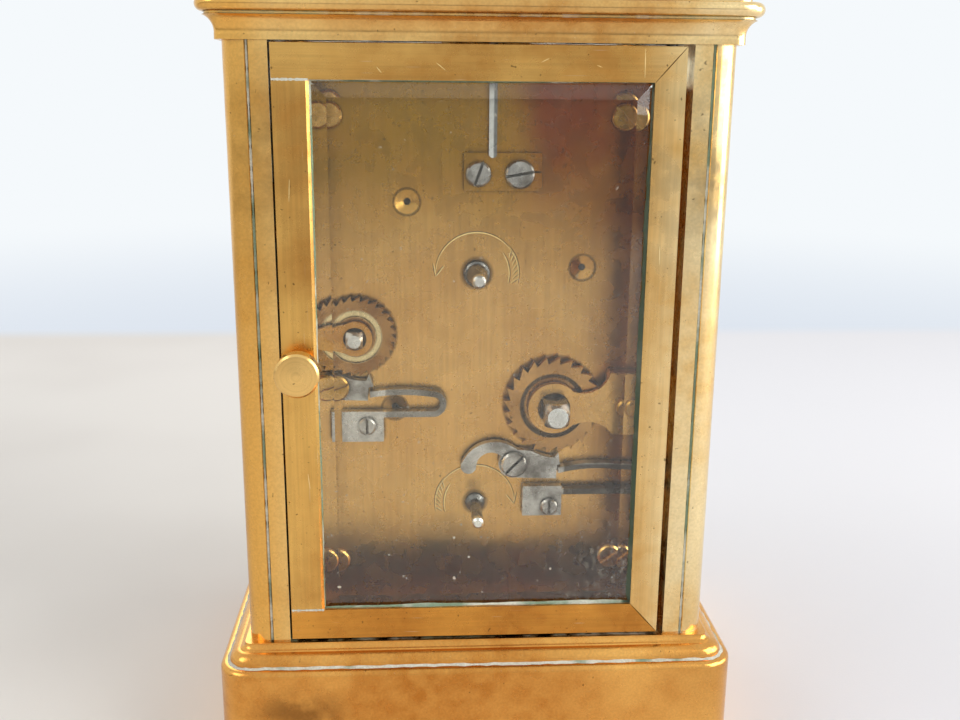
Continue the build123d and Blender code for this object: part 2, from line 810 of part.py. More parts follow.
pieces["door_top_rail"] = door_piece([(hinge_edge, door_top), (opening_left, opening_top),
                                      (lock_edge, opening_top), (lock_edge, door_top)])
pieces["door_bottom_rail"] = door_piece([(hinge_edge, door_bottom), (opening_left, opening_bottom),
                                         (lock_edge, opening_bottom), (lock_edge, door_bottom)])
pieces["door_hinge_stile"] = door_piece([(hinge_edge, door_bottom), (opening_left, opening_bottom),
                                         (opening_left, opening_top), (hinge_edge, door_top)])
lock_stile = door_piece([(opening_right, opening_bottom), (lock_edge, opening_bottom),
                         (lock_edge, opening_top), (opening_right, opening_top)])
lock_stile -= along_z(Polygon([(opening_right - over, half_depth + over),
                               (opening_right + stile_chamfer, half_depth + over),
                               (opening_right + stile_chamfer, half_depth),
                               (opening_right, half_depth - stile_chamfer),
                               (opening_right - over, half_depth - stile_chamfer)], align=None),
                      opening_bottom, opening_top)
knob_x = (opening_right + lock_edge) / 2
knob_z = door_bottom + knob_height
lock_stile -= rod_y((knob_x, knob_z), knob_neck_radius, door_front, half_depth)
pieces["door_lock_stile"] = lock_stile

pane = bevelled_pane(pane_right - pane_left - 2 * glass_play, pane_top - pane_bottom - 2 * glass_play,
                     glass_thickness, door_bevel_width, door_bevel_depth)
bevel_at_lip = door_bevel_depth * (1 - (door_rebate - glass_play) / door_bevel_width)
door_pane_back = lip_under + bevel_at_lip - glass_thickness
pieces["rear_door_glass"] = facing_rear(pane, mid_x, door_pane_back, mid_z)

neck_end = half_depth + knob_neck_length
head_end = neck_end + knob_head_length
pieces["door_knob"] = turned_y((knob_x, knob_z), [
    (knob_neck_radius, door_front), (knob_neck_radius, half_depth), (knob_collar_radius, half_depth),
    (knob_collar_radius, half_depth + 0.5), (knob_collar_radius - 0.6, half_depth + 0.9),
    (knob_neck_radius, half_depth + 1.0), (knob_neck_radius, neck_end - 0.2),
    (knob_head_radius - 0.5, neck_end), (knob_head_radius, neck_end + 0.5),
    (knob_head_radius, head_end - 0.5), (knob_head_radius - 0.3, head_end - 0.2), (0.3, head_end)])
pins = [rod_z((hinge_x, hinge_y), hinge_pin_radius, door_bottom - door_rise - hinge_pin_reach,
              door_bottom + hinge_pin_length),
        rod_z((hinge_x, hinge_y), hinge_pin_radius, door_top - hinge_pin_length,
              door_top + door_headroom + hinge_pin_reach)]
pieces["door_hinge_pins"] = Compound(children=pins)

# Carrying handle: a flat bail with an eye at each end and a turned grip, on two posts
bar = handle_bar_thickness
outer_x = handle_half_span + bar / 2
top_z = handle_pivot_z + handle_rise
corner = handle_corner_radius


def bail_outline(x, z, radius):
    """One side of the bail's edge: up, round the two corners and down."""
    bend = radius * sqrt(0.5)
    return face_of((-x, handle_pivot_z), (-x, z - radius),
                   ((-x + radius - bend, z - radius + bend), (-x + radius, z)), (x - radius, z),
                   ((x - radius + bend, z - radius + bend), (x, z - radius)), (x, handle_pivot_z))


bail = along_y(bail_outline(outer_x, top_z, corner) - bail_outline(outer_x - bar, top_z - bar, corner - bar),
               -handle_bar_depth / 2, handle_bar_depth / 2)
grip_z = top_z - bar / 2
grip = [(-grip_half_length, grip_radius * 0.75), (-grip_half_length, grip_radius),
        (-grip_half_length + 1.2, grip_radius), (-grip_half_length + 1.2, grip_radius * 0.8),
        (-grip_half_length + 2.2, grip_radius * 0.8), (-grip_half_length * 0.5, grip_radius * 0.95),
        (0, grip_radius * 1.08)]
grip += [(-x, r) for x, r in reversed(grip[:-1])]
bail += turned_x((0, grip_z), grip)
for side in (-1, 1):
    eye_low = side * handle_half_span - bar / 2
    bail += Pos(eye_low, 0,
                handle_pivot_z) * (Rot(0, 90, 0)
                                   * Cylinder(handle_eye_radius, bar,
                                              align=(Align.CENTER, Align.CENTER, Align.MIN)))
bail -= along_x(Pos(0, handle_pivot_z) * Circle(handle_screw_radius + running_play), -outer_x - 1,
                outer_x + 1)
pieces["handle"] = bail

posts, handle_pins = [], []
for side in (-1, 1):
    stand = turned_z((side * post_x, 0),
                     [(post_stud_radius, roof_top - 2.4), (post_stud_radius, roof_top),
                      (post_radius, roof_top),
                                          (post_radius, roof_top + 0.8), (post_radius - 0.8, roof_top + 1.4),
                                          (post_radius - 0.9, handle_pivot_z)])
    ear = along_x(Pos(0, handle_pivot_z) * Circle(handle_eye_radius), side * post_x - post_ear_thickness / 2,
                  side * post_x + post_ear_thickness / 2)
    stand += ear
    clear_low, clear_high = sorted((side * (handle_half_span - bar / 2 - running_play),
                                    side * (outer_x + 10)))
    stand -= block(clear_low, clear_high, -5, 5, handle_pivot_z - handle_eye_radius - 0.3, handle_pivot_z + 5)
    stand -= along_x(Pos(0, handle_pivot_z) * Circle(handle_screw_radius), -outer_x - 1, outer_x + 1)
    posts.append(stand)
    screw = slotted_screw(2.2, 1.0, handle_screw_radius, bar + 2 * running_play + post_ear_thickness, 20)
    facing = Plane(origin=(side * (outer_x + running_play), 0, handle_pivot_z), x_dir=(0, side, 0),
                   z_dir=(side, 0, 0))
    handle_pins.append(facing.location * screw)
pieces["handle_posts"] = Compound(children=posts)
pieces["handle_screws"] = Compound(children=handle_pins)

# Gears: each tooth of a wheel stands in a gap of its pinion
great_module, great_turn, intermediate_turn = mesh(going_barrel, great_teeth, intermediate,
                                                   intermediate_leaves)
centre_module, intermediate_wheel_turn, centre_pinion_turn = mesh(intermediate, intermediate_teeth, centre,
                                                                  centre_leaves)
third_module, centre_wheel_turn, third_pinion_turn = mesh(centre, centre_teeth, third, third_leaves)
contrate_module, third_wheel_turn, contrate_pinion_turn = mesh(third, third_teeth, contrate, contrate_leaves)
alarm_module, alarm_great_turn, alarm_pinion_turn = mesh(alarm_barrel, alarm_great_teeth, alarm_wheel,
                                                         alarm_leaves)
minute_module, minute_wheel_turn, cannon_turn = mesh(minute, minute_teeth, centre, cannon_teeth)
hour_module, hour_wheel_turn, minute_pinion_turn = mesh(centre, hour_teeth, minute, minute_leaves)


def from_back_plate(depth):
    """A place along Y, counted forward from the front face of the back plate."""
    return back_plate_front - depth


# Movement plates and the pillars between them
half_plate = half_width - glass_inset - glass_thickness - plate_side_gap
thin_arbors = (intermediate, third, contrate, alarm_wheel, hammer)
escape_y = back_plate_front - escape_depth
escape_at = (contrate[0], escape_y)
pallet_at = (pallet_x, back_plate_front - pallet_depth)
balance_at = (balance_x, back_plate_front - balance_depth)
platform_left = platform_centre_x - platform_width / 2
platform_right = platform_centre_x + platform_width / 2
platform_screw_places = [(x, y) for x in (platform_left + 2.0, platform_right - 2.0)
                         for y in (front_plate_front + plate_thickness / 2,
                                   back_plate_rear - plate_thickness / 2)]


def movement_plate(y_low, y_high, outer, way, wide_holes, through_pivots):
    """One brass plate. Thin pivots get an oil sink on the outer face, and way points out of that face."""
    plate = block(-half_plate, half_plate, y_low, y_high, base_height, plates_top)
    for at in through_pivots:
        plate -= rod_y(at, pivot_radius + running_play, y_low, y_high)
        plate -= turned_y(at, [(pivot_radius, outer - way * oil_sink_depth), (oil_sink_radius, outer)])
    for at, radius in wide_holes:
        plate -= rod_y(at, radius, y_low, y_high)
    for at in plate_pillars:
        plate -= rod_y(at, fixing_screw_radius, y_low, y_high)
    for place in platform_screw_places:
        plate -= rod_z(place, platform_screw_radius, plates_top - platform_screw_reach, plates_top)
    return plate


back_plate = movement_plate(back_plate_front, back_plate_rear, back_plate_rear, 1, [
    (centre, centre_rear_radius + running_play), (alarm_setting, alarm_rear_radius + running_play),
    (going_barrel, going_pivot_radius + running_play), (alarm_barrel, alarm_pivot_radius + running_play)],
    thin_arbors[:-1])
back_plate -= rod_y(hammer, pivot_radius + running_play, back_plate_front, back_plate_rear - hammer_pivot_skin)
dial_middle_z = base_height + dial_up
dial_feet = [(x * (dial_width / 2 - dial_foot_inset), dial_middle_z + z * (dial_height / 2 - dial_foot_inset))
             for x in (-1, 1) for z in (-1, 1)]
front_plate = movement_plate(front_plate_front, front_plate_rear, front_plate_front, -1, [
    (centre, centre_front_radius + running_play), (alarm_setting, alarm_stem_radius + running_play),
    (going_barrel, barrel_front_pivot + running_play), (alarm_barrel, barrel_front_pivot + running_play),
    (minute, pivot_radius)] + [(at, dial_foot_radius) for at in dial_feet], thin_arbors)

plate_pillar_solids = []
for at in plate_pillars:
    rod = rod_y(at, movement_pillar_radius, front_plate_rear, back_plate_front)
    rod -= rod_y(at, fixing_screw_radius, front_plate_rear, front_plate_rear + pillar_hole_depth)
    rod -= rod_y(at, fixing_screw_radius, back_plate_front - pillar_hole_depth, back_plate_front)
    if at in lower_pillars:
        for place in fixing_places:
            rod -= rod_z(place, fixing_screw_radius, base_height, fixing_top)
    plate_pillar_solids.append(rod)
pieces["movement_pillars"] = Compound(children=plate_pillar_solids)

# Screws of the movement: these are gathered as the pieces that they hold are made
movement_screws = []
plate_screw = slotted_screw(plate_screw_radius, plate_screw_head, fixing_screw_radius,
                            plate_thickness + pillar_hole_depth - screw_end_play, 0)
for n, (x, z) in enumerate(plate_pillars):
    movement_screws.append(facing_rear(Rot(0, 0, 35 + 50 * n) * plate_screw, x, back_plate_rear, z))
    movement_screws.append(facing_front(Rot(0, 0, 20 + 70 * n) * plate_screw, x, front_plate_front, z))

# Barrels: a toothed drum with a pressed lid, a mainspring and an arbor with its winding square


def barrel(at, y_front, length, bore, teeth, module, turn, gear_thickness):
    """An open drum with a toothed flange at its front end, and the lid of its rear end."""
    y_rear = y_front + length
    drum_radius = (teeth / 2 - 1.25) * module - drum_step
    hollow_radius = drum_radius - barrel_wall
    seat_radius = drum_radius - barrel_wall / 2
    drum = along_y(wheel_outline(at, teeth, module, turn), y_front, y_front + gear_thickness)
    drum += rod_y(at, drum_radius, y_front, y_rear)
    drum -= rod_y(at, hollow_radius, y_front + barrel_wall, y_rear)
    drum -= rod_y(at, seat_radius, y_rear - barrel_lid, y_rear)
    drum -= rod_y(at, bore, y_front, y_front + barrel_wall)
    lid = rod_y(at, seat_radius, y_rear - barrel_lid, y_rear) - rod_y(at, bore, y_rear - barrel_lid, y_rear)
    lid -= block(at[0] + hollow_radius - 1.5, at[0] + seat_radius, y_rear - barrel_lid, y_rear, at[1] - 1.0,
                 at[1] + 1.0)
    return Compound(children=[drum, lid]), hollow_radius


def barrel_inside(y_front, length):
    """Where a barrel's spring and its arbor's hub begin and end."""
    return y_front + barrel_wall + cock_play, y_front + length - barrel_lid - cock_play


def mainspring(at, hub, hollow_radius, y_low, y_high):
    """A wound ribbon between the arbor's hub and the drum's wall."""
    pitch = spring_coil_gap + spring_coil_thickness
    turns = int((hollow_radius - hub - 2 * cock_play) / pitch)
    coil = spiral_strip(hub + cock_play, pitch, turns, spring_coil_thickness)
    return along_y(Pos(*at) * coil, y_low, y_high)


def winding_arbor(at, bore, hub, inside, pivot, side, side_length, tip):
    """A barrel arbor: front pivot, hub inside the drum, rear pivot and a tapered winding square."""
    square_low = back_plate_rear + shoulder_play
    arbor = turned_y(at, [
        (barrel_front_pivot, front_plate_front), (barrel_front_pivot, front_plate_rear + shoulder_play),
        (bore, front_plate_rear + shoulder_play), (bore, inside[0]), (hub, inside[0]), (hub, inside[1]),
        (bore, inside[1]), (bore, back_plate_front - shoulder_play),
        (pivot, back_plate_front - shoulder_play),
        (pivot, square_low)])
    square_high = back_plate_rear + side_length
    square = along_y(Pos(*at) * Rectangle(side, side), square_low, square_high)
    return arbor + (square & turned_y(at,
                                      [(pivot, square_low), (pivot, square_high - tip), (tip, square_high)]))


def ratchet_wheel(at, teeth, tip, depth, turn, side, pivot):
    """A ratchet wheel on a square. Its steep faces look anticlockwise, seen from the front."""
    pitch = 2 * pi / teeth
    points = []
    for n in range(teeth):
        points.append(polar(at, tip, turn + (n - ratchet_lean) * pitch))
        points.append(polar(at, tip - depth, turn + n * pitch))
    wheel = along_y(Polygon(points, align=None), ratchet_low, ratchet_high)
    dish = Pos(*at) * (Circle(ratchet_dish_outer * tip) - Circle(ratchet_dish_inner * tip))
    wheel -= along_y(dish, ratchet_high - ratchet_dish_depth, ratchet_high)
    hole = (Pos(*at) * Rectangle(side, side)) & (Pos(*at) * Circle(pivot))
    return wheel - along_y(hole, ratchet_low, ratchet_high)


going_front = from_back_plate(going_barrel_depth + going_barrel_length)
going_inside = barrel_inside(going_front, going_barrel_length)
going_bore = going_arbor_radius + running_play
pieces["going_barrel"], going_hollow = barrel(going_barrel, going_front, going_barrel_length, going_bore,
                                              great_teeth,
                                              great_module, great_turn, great_wheel_thickness)
pieces["going_mainspring"] = mainspring(going_barrel, going_hub_radius, going_hollow, *going_inside)
pieces["going_winding_arbor"] = winding_arbor(going_barrel, going_arbor_radius, going_hub_radius,
                                              going_inside,
                                              going_pivot_radius, going_square, going_square_length,
                                              winding_tip_going)
alarm_front = from_back_plate(alarm_barrel_depth + alarm_barrel_length)
alarm_inside = barrel_inside(alarm_front, alarm_barrel_length)
pieces["alarm_barrel"], alarm_hollow = barrel(alarm_barrel, alarm_front, alarm_barrel_length,
                                              alarm_arbor_radius + running_play,
                                              alarm_great_teeth, alarm_module, alarm_great_turn,
                                              wheel_thickness)
pieces["alarm_mainspring"] = mainspring(alarm_barrel, alarm_hub_radius, alarm_hollow, *alarm_inside)
pieces["alarm_winding_arbor"] = winding_arbor(alarm_barrel, alarm_arbor_radius, alarm_hub_radius,
                                              alarm_inside,
                                              alarm_pivot_radius, alarm_square, alarm_square_length,
                                              winding_tip_alarm)

# Clicks: each pivots on a shouldered screw. Its beak stands clear of the tips of the ratchet teeth by a hair,
# as when a tooth passes under it, and drops between two teeth by click_drop


def beak_point(at, pivot, radius, reach):
    """Where a beak of a given reach from its pivot meets a circle round a wheel, on the side of smaller X."""
    gap = apart(at, pivot)
    angle = acos((gap ** 2 + radius ** 2 - reach ** 2) / (2 * gap * radius))
    return polar(at, radius, bearing(at, pivot) - angle)


def click_face(at, wheel_radius, pivot, tip, half_height, depth):
    """A click: a body below the wheel, hollowed to let the teeth pass, and a beak that points at the wheel."""
    x, z = pivot
    body = Polygon([tip, (tip[0] + 0.3, tip[1] - depth), (x - 0.6, z - half_height), (x, z + half_height)],
                   align=None)
    body += Pos(x, z) * Circle(half_height)
    reach = apart(pivot, tip)
    for share in (0, 0.5, 1):
        middle = polar(pivot, apart(pivot, at), bearing(pivot, at) + share * click_drop / reach)
        body -= Pos(*middle) * Circle(wheel_radius + 2 * click_play)
    out = bearing(at, tip)
    beak = Polygon([tip, polar(tip, 2.0, out), polar(tip, 2.4, out + 0.75)], align=None)
    return (body + beak) - Pos(x, z) * Circle(click_shoulder_radius + running_play)


going_click_pivot = (going_barrel[0] + going_click_from_barrel[0],
                     going_barrel[1] + going_click_from_barrel[1])
alarm_click_pivot = (alarm_barrel[0] + alarm_click_from_barrel[0],
                     alarm_barrel[1] + alarm_click_from_barrel[1])
going_tip = beak_point(going_barrel, going_click_pivot, going_ratchet_radius + click_play, going_click_reach)
alarm_tip = beak_point(alarm_barrel, alarm_click_pivot, alarm_ratchet_radius + click_play, alarm_click_reach)
going_click = click_face(going_barrel, going_ratchet_radius, going_click_pivot, going_tip, 2.4, 4.4)
tail_x, tail_z = going_click_pivot
going_click += face_of((tail_x - 0.8, tail_z + 2.2),
                       ((tail_x + 5.0, tail_z + 3.4), (tail_x + 8.55, tail_z - 0.35)),
                       (tail_x + 6.05, tail_z - 0.35),
                       ((tail_x + 4.6, tail_z + 1.75), (tail_x + 1.4, tail_z - 1.3)))
going_click += Pos(tail_x + 7.3, tail_z - 0.4) * Circle(1.25)
going_click -= Pos(tail_x, tail_z) * Circle(click_shoulder_radius + running_play)
pieces["going_click"] = along_y(going_click, ratchet_low, ratchet_high)
alarm_click = click_face(alarm_barrel, alarm_ratchet_radius, alarm_click_pivot, alarm_tip, 2.1, 4.2)
pieces["alarm_click"] = along_y(alarm_click, ratchet_low, ratchet_high)
pieces["going_ratchet_wheel"] = ratchet_wheel(going_barrel, going_ratchet_teeth, going_ratchet_radius,
                                              going_ratchet_depth,
                                              bearing(going_barrel, going_tip) + ratchet_lead, going_square,
                                              going_pivot_radius)
pieces["alarm_ratchet_wheel"] = ratchet_wheel(alarm_barrel, alarm_ratchet_teeth, alarm_ratchet_radius,
                                              alarm_ratchet_depth,
                                              bearing(alarm_barrel, alarm_tip) + ratchet_lead, alarm_square,
                                              alarm_pivot_radius)


def shouldered_screw(at, head_radius, shoulder_radius, y_shoulder, slot_turn):
    """A screw whose shoulder stands on the back plate and whose head keeps a click on it."""
    x, z = at
    screw = facing_rear(slotted_screw(head_radius, screw_head_height, shoulder_radius,
                                      y_shoulder - back_plate_rear, slot_turn),
                        x, y_shoulder, z)
    return screw + rod_y(at, small_thread_radius, back_plate_rear - small_thread_length, back_plate_rear)


def plain_screw(at, head_radius, y_seat, slot_turn):
    """A screw with its head on a face at y_seat and its thread in the back plate."""
    length = y_seat - back_plate_rear + small_thread_length
    return facing_rear(slotted_screw(head_radius, screw_head_height, small_thread_radius, length, slot_turn),
                       at[0], y_seat, at[1])


rear_screws = [
    (shouldered_screw(going_click_pivot, click_screw_radius, click_shoulder_radius,
                      ratchet_high + running_play, 45), going_click_pivot),
    (shouldered_screw(alarm_click_pivot, click_screw_radius, click_shoulder_radius,
                      ratchet_high + running_play, 20), alarm_click_pivot)]

# Winding cocks: a brass bridge over each ratchet wheel, with an eye round the arbor
cock_low = ratchet_high + cock_play
cock_high = cock_low + cock_thickness
gx, gz = going_barrel
going_bridge = face_of((-half_plate + going_cock_inset, gz - 4.6), (gx - 9.5, gz - 4.4),
                       ((gx - 6.6, gz - 2.4), (gx - 3.4, gz - 2.7)),
                       (gx, gz - 2.7), (gx, gz + 2.7), (gx - 3.4, gz + 2.7),
                       ((gx - 6.4, gz + 2.8), (gx - 8.9, gz + 5.8)),
                       (-half_plate + going_cock_inset, gz + 5.2))
going_bridge += Pos(gx, gz) * Circle(going_eye_radius)
going_bridge -= Pos(gx, gz) * Circle(going_pivot_radius + eye_play)
going_cock = along_y(going_bridge, cock_low, cock_high)
going_foot_edge = gx - going_ratchet_radius - 0.7
going_foot = going_bridge & (Pos((going_foot_edge - half_plate) / 2, gz)
                             * Rectangle(going_foot_edge + half_plate, half_plate))
going_cock += along_y(going_foot, back_plate_rear, cock_high)
going_cock_screw = (-half_plate + 5.4, gz + 0.1)
ax, az = alarm_barrel
alarm_foot_edge = ax + alarm_ratchet_radius + 0.5
alarm_bridge = face_of((ax, az + alarm_cock_half_width), (ax - alarm_cock_half_width, az),
                       (ax, az - alarm_cock_half_width), (ax + 6.0, az - alarm_cock_waist),
                       (alarm_foot_edge, az - alarm_cock_half_width),
                       (half_plate - alarm_cock_inset, az - alarm_cock_half_width),
                       (half_plate - alarm_cock_inset, az + alarm_cock_half_width),
                       (alarm_foot_edge, az + alarm_cock_half_width), (ax + 6.0, az + alarm_cock_waist))
alarm_bridge += Pos(ax, az) * Circle(alarm_eye_radius)
alarm_bridge -= Pos(ax, az) * Circle(alarm_pivot_radius + eye_play)
alarm_cock = along_y(alarm_bridge, cock_low, cock_high)
alarm_cock += block(alarm_foot_edge, half_plate - alarm_cock_inset, back_plate_rear, cock_high,
                    az - alarm_cock_half_width, az + alarm_cock_half_width)
alarm_cock_screw = (ax + 8.3, az)
for at, radius in ((going_cock_screw, foot_screw_radius), (alarm_cock_screw, alarm_foot_screw_radius)):
    rear_screws.append((plain_screw(at, radius, cock_high, 60), at))
going_cock -= rod_y(going_cock_screw, small_thread_radius, back_plate_rear, cock_high)
alarm_cock -= rod_y(alarm_cock_screw, small_thread_radius, back_plate_rear, cock_high)
pieces["winding_cocks"] = Compound(children=[going_cock, alarm_cock])

# Click springs: a strip bent back on itself from a screwed foot, which bears on the click's lower edge
spring_high = back_plate_rear + spring_width


def click_spring(foot, foot_screw, leg_z, bend_x, touch, bow):
    """A foot block with a screw hole, a lower leg to the bend, and a bowed upper leg back to the click."""
    foot_left, foot_right, foot_low, foot_high = foot
    strip = click_spring_thickness
    upper_z = touch[1]
    bend_z = (leg_z + upper_z) / 2
    bend_radius = (upper_z - leg_z) / 2
    lower = Polygon([(foot_right, leg_z - strip / 2), (bend_x, leg_z - strip / 2),
                     (bend_x, leg_z + strip / 2),
                     (foot_right, leg_z + strip / 2)], align=None)
    loop = Pos(bend_x, bend_z) * (Circle(bend_radius + strip / 2) - Circle(bend_radius - strip / 2))
    loop = loop & (Pos(bend_x - 5, bend_z) * Rectangle(10, 4 * bend_radius + 4 * strip))
    middle_x = (bend_x + touch[0]) / 2
    upper = face_of((bend_x, upper_z + strip / 2),
                    ((middle_x, upper_z + bow + strip / 2), (touch[0], upper_z + strip / 2)),
                    (touch[0], upper_z - strip / 2),
                    ((middle_x, upper_z + bow - strip / 2), (bend_x, upper_z - strip / 2)))
    block_face = Polygon([(foot_left, foot_low), (foot_right, foot_low), (foot_right, foot_high),
                          (foot_left, foot_high)], align=None)
    outline = block_face + lower + loop + upper
    outline -= Pos(*foot_screw) * Circle(small_thread_radius)
    return along_y(outline, back_plate_rear, spring_high)


going_spring = click_spring(going_spring_foot, going_spring_screw, going_spring_leg, going_spring_bend,
                            going_spring_touch, going_spring_bow)
alarm_spring = click_spring(alarm_spring_foot, alarm_spring_screw, alarm_spring_leg, alarm_spring_bend,
                            alarm_spring_touch, alarm_spring_bow)
pieces["click_springs"] = Compound(children=[going_spring, alarm_spring])
for at in (going_spring_screw, alarm_spring_screw):
    rear_screws.append((plain_screw(at, foot_screw_radius, spring_high, 90), at))

# End plate of the contrate wheel's arbor, slit across at the pivot's height
end_x, end_z = contrate[0] - 0.15, contrate[1] + 0.15
end_plate = block(end_x - end_plate_half_width, end_x + end_plate_half_width, back_plate_rear,
                  back_plate_rear + end_plate_thickness, end_z - end_plate_half_height,
                  end_z + end_plate_half_height)
end_plate -= block(end_x - end_plate_half_width, end_x - 3.6, back_plate_rear,
                   back_plate_rear + end_plate_thickness,
                   end_z - 0.15, end_z + 0.15)
for at, radius, slot_turn in (((contrate[0] + 3.6, end_z - 0.3), 1.9, 70),
                              ((contrate[0] - 2.7, end_z - 0.3), 2.2, 10)):
    end_plate -= rod_y(at, small_thread_radius, back_plate_rear, back_plate_rear + end_plate_thickness)
    rear_screws.append((plain_screw(at, radius, back_plate_rear + end_plate_thickness, slot_turn), at))
pieces["contrate_end_plate"] = end_plate
for screw, at in rear_screws:
    movement_screws.append(screw)
    back_plate -= rod_y(at, small_thread_radius, back_plate_rear - small_thread_length, back_plate_rear)
pieces["back_plate"] = back_plate
pieces["front_plate"] = front_plate

# Going train: each wheel is fixed on its arbor, and its pinion is cut from thicker steel


def wheel(at, teeth, module, turn, depth, thickness, spokes):
    """A brass wheel with straight spokes, whose rear face lies at a depth in front of the back plate."""
    rear = from_back_plate(depth)
    outline = wheel_outline(at, teeth, module, turn)
    rim_inner = (teeth / 2 - 1.25) * module - wheel_rim
    outline = crossed_out(at, outline, wheel_hub, rim_inner, spokes, spoke_width, degrees(turn) + 90 / spokes)
    return along_y(outline, rear - thickness, rear)


def pinion(at, leaves, module, turn, depth, thickness):
    """A pinion that is longer at each end than the wheel it meshes with."""
    rear = from_back_plate(depth) + pinion_margin
    return along_y(pinion_outline(at, leaves, module, turn), rear - thickness - 2 * pinion_margin, rear)


great_depth = going_barrel_depth + going_barrel_length - great_wheel_thickness
pieces["intermediate_wheel"] = (arbor_between_plates(intermediate)
                                + wheel(intermediate, intermediate_teeth, centre_module,
                                        intermediate_wheel_turn,
                                        intermediate_wheel_depth, wheel_thickness, 4)
                                + pinion(intermediate, intermediate_leaves, great_module, intermediate_turn,
                                         great_depth, great_wheel_thickness))
centre_rear_end = from_back_plate(centre_pipe_gap)
centre_front_end = from_back_plate(centre_wheel_depth + wheel_thickness) - pinion_margin
centre_wheel = rod_y(centre, centre_pipe_radius, centre_front_end, centre_rear_end)
centre_wheel += wheel(centre, centre_teeth, third_module, centre_wheel_turn, centre_wheel_depth,
                      wheel_thickness, 4)
centre_wheel += pinion(centre, centre_leaves, centre_module, centre_pinion_turn, intermediate_wheel_depth,
                       wheel_thickness)
pieces["centre_wheel"] = centre_wheel - rod_y(centre, centre_front_radius + running_play, centre_front_end,
                                              centre_rear_end)
pieces["third_wheel"] = (arbor_between_plates(third)
                         + wheel(third, third_teeth, contrate_module, third_wheel_turn, third_wheel_depth,
                                 wheel_thickness, 4)
                         + pinion(third, third_leaves, third_module, third_pinion_turn, centre_wheel_depth,
                                  wheel_thickness))

# Contrate wheel: its teeth stand up from the front face of its rim and turn the upright escape pinion
crown_rear = from_back_plate(contrate_wheel_depth)
crown_root = crown_rear - contrate_thickness
crown_radius = contrate_teeth * escape_module / 2
crown_pitch = 2 * pi * crown_radius / contrate_teeth
crown_wheel = Pos(*contrate) * Circle(crown_radius + crown_tooth_length / 2)
crown_wheel = crossed_out(contrate, crown_wheel, wheel_hub, crown_radius - crown_tooth_length / 2 - 0.3, 4,
                          spoke_width, 45)
contrate_wheel = arbor_between_plates(contrate) + along_y(crown_wheel, crown_root, crown_rear)
contrate_wheel += pinion(contrate, contrate_leaves, contrate_module, contrate_pinion_turn, third_wheel_depth,
                         wheel_thickness)
tooth_section = Polygon([(-0.25 * crown_pitch, -0.05), (0.25 * crown_pitch, -0.05), (0.25 * crown_pitch, 0),
                         (0.11 * crown_pitch, crown_tooth_height), (-0.11 * crown_pitch, crown_tooth_height),
                         (-0.25 * crown_pitch, 0)], align=None)
tooth_plane = Plane(origin=(0, crown_root, crown_radius - crown_tooth_length / 2), x_dir=(1, 0, 0),
                    z_dir=(0, 0, 1))
crown_tooth = extrude(tooth_plane * (Rot(0, 0, 180) * tooth_section), amount=crown_tooth_length)
crown_teeth = [Pos(contrate[0], 0, contrate[1]) * (Rot(0, 360 * n / contrate_teeth, 0) * crown_tooth)
               for n in range(contrate_teeth)]
pieces["contrate_wheel"] = contrate_wheel + crown_teeth

# Alarm train: the strike wheel and the hammer with its two pallets
strike_rear = from_back_plate(alarm_wheel_depth)
strike_points = []
for n in range(alarm_wheel_teeth):
    strike_points.append(polar(alarm_wheel, alarm_wheel_radius, (n + 0.15) * 2 * pi / alarm_wheel_teeth))
    strike_points.append(polar(alarm_wheel, alarm_wheel_radius - alarm_tooth_depth,
                               (n + 0.35) * 2 * pi / alarm_wheel_teeth))
    strike_points.append(polar(alarm_wheel, alarm_wheel_radius - alarm_tooth_depth,
                               (n + 0.85) * 2 * pi / alarm_wheel_teeth))
    strike_points.append(polar(alarm_wheel, alarm_wheel_radius, (n + 0.95) * 2 * pi / alarm_wheel_teeth))
pieces["alarm_wheel"] = (arbor_between_plates(alarm_wheel)
                         + along_y(Polygon(strike_points, align=None), strike_rear - wheel_thickness,
                                   strike_rear)
                         + pinion(alarm_wheel, alarm_leaves, alarm_module, alarm_pinion_turn,
                                  alarm_barrel_depth + alarm_barrel_length - wheel_thickness,
                                  wheel_thickness))
up = bearing(hammer, alarm_wheel)
verge = Pos(*hammer) * Circle(verge_hub)
for side in (-1, 1):
    verge += Polygon([polar(hammer, verge_hub, up - side * 0.9),
                      polar(hammer, verge_reach, up + side * verge_half_angle),
                      polar(hammer, verge_reach - 1.0, up + side * (verge_half_angle + 0.2)),
                      polar(hammer, verge_hub, up + side * 2.0)], align=None)
head_low = bell_x + bell_radius + hammer_bell_gap
head_middle = (head_low + hammer_head_length / 2, hammer_y, hammer_head_height)
stem_top = (hammer[0], hammer_y, hammer[1])
stem_line = Vector(*head_middle) - Vector(*stem_top)
stem = Plane(origin=stem_top, z_dir=stem_line).location * Cylinder(
    hammer_stem_radius, stem_line.length, align=(Align.CENTER, Align.CENTER, Align.MIN))
hammer_head = along_x(Pos(hammer_y, hammer_head_height) * Circle(hammer_head_radius), head_low,
                      head_low + hammer_head_length)
pieces["alarm_hammer"] = (arbor_between_plates(hammer, rear_cover=hammer_pivot_skin + screw_end_play)
                          + along_y(verge, strike_rear - wheel_thickness, strike_rear)
                          + rod_y(hammer, verge_hub, hammer_y - 1.2, hammer_y + 1.2) + stem + hammer_head)

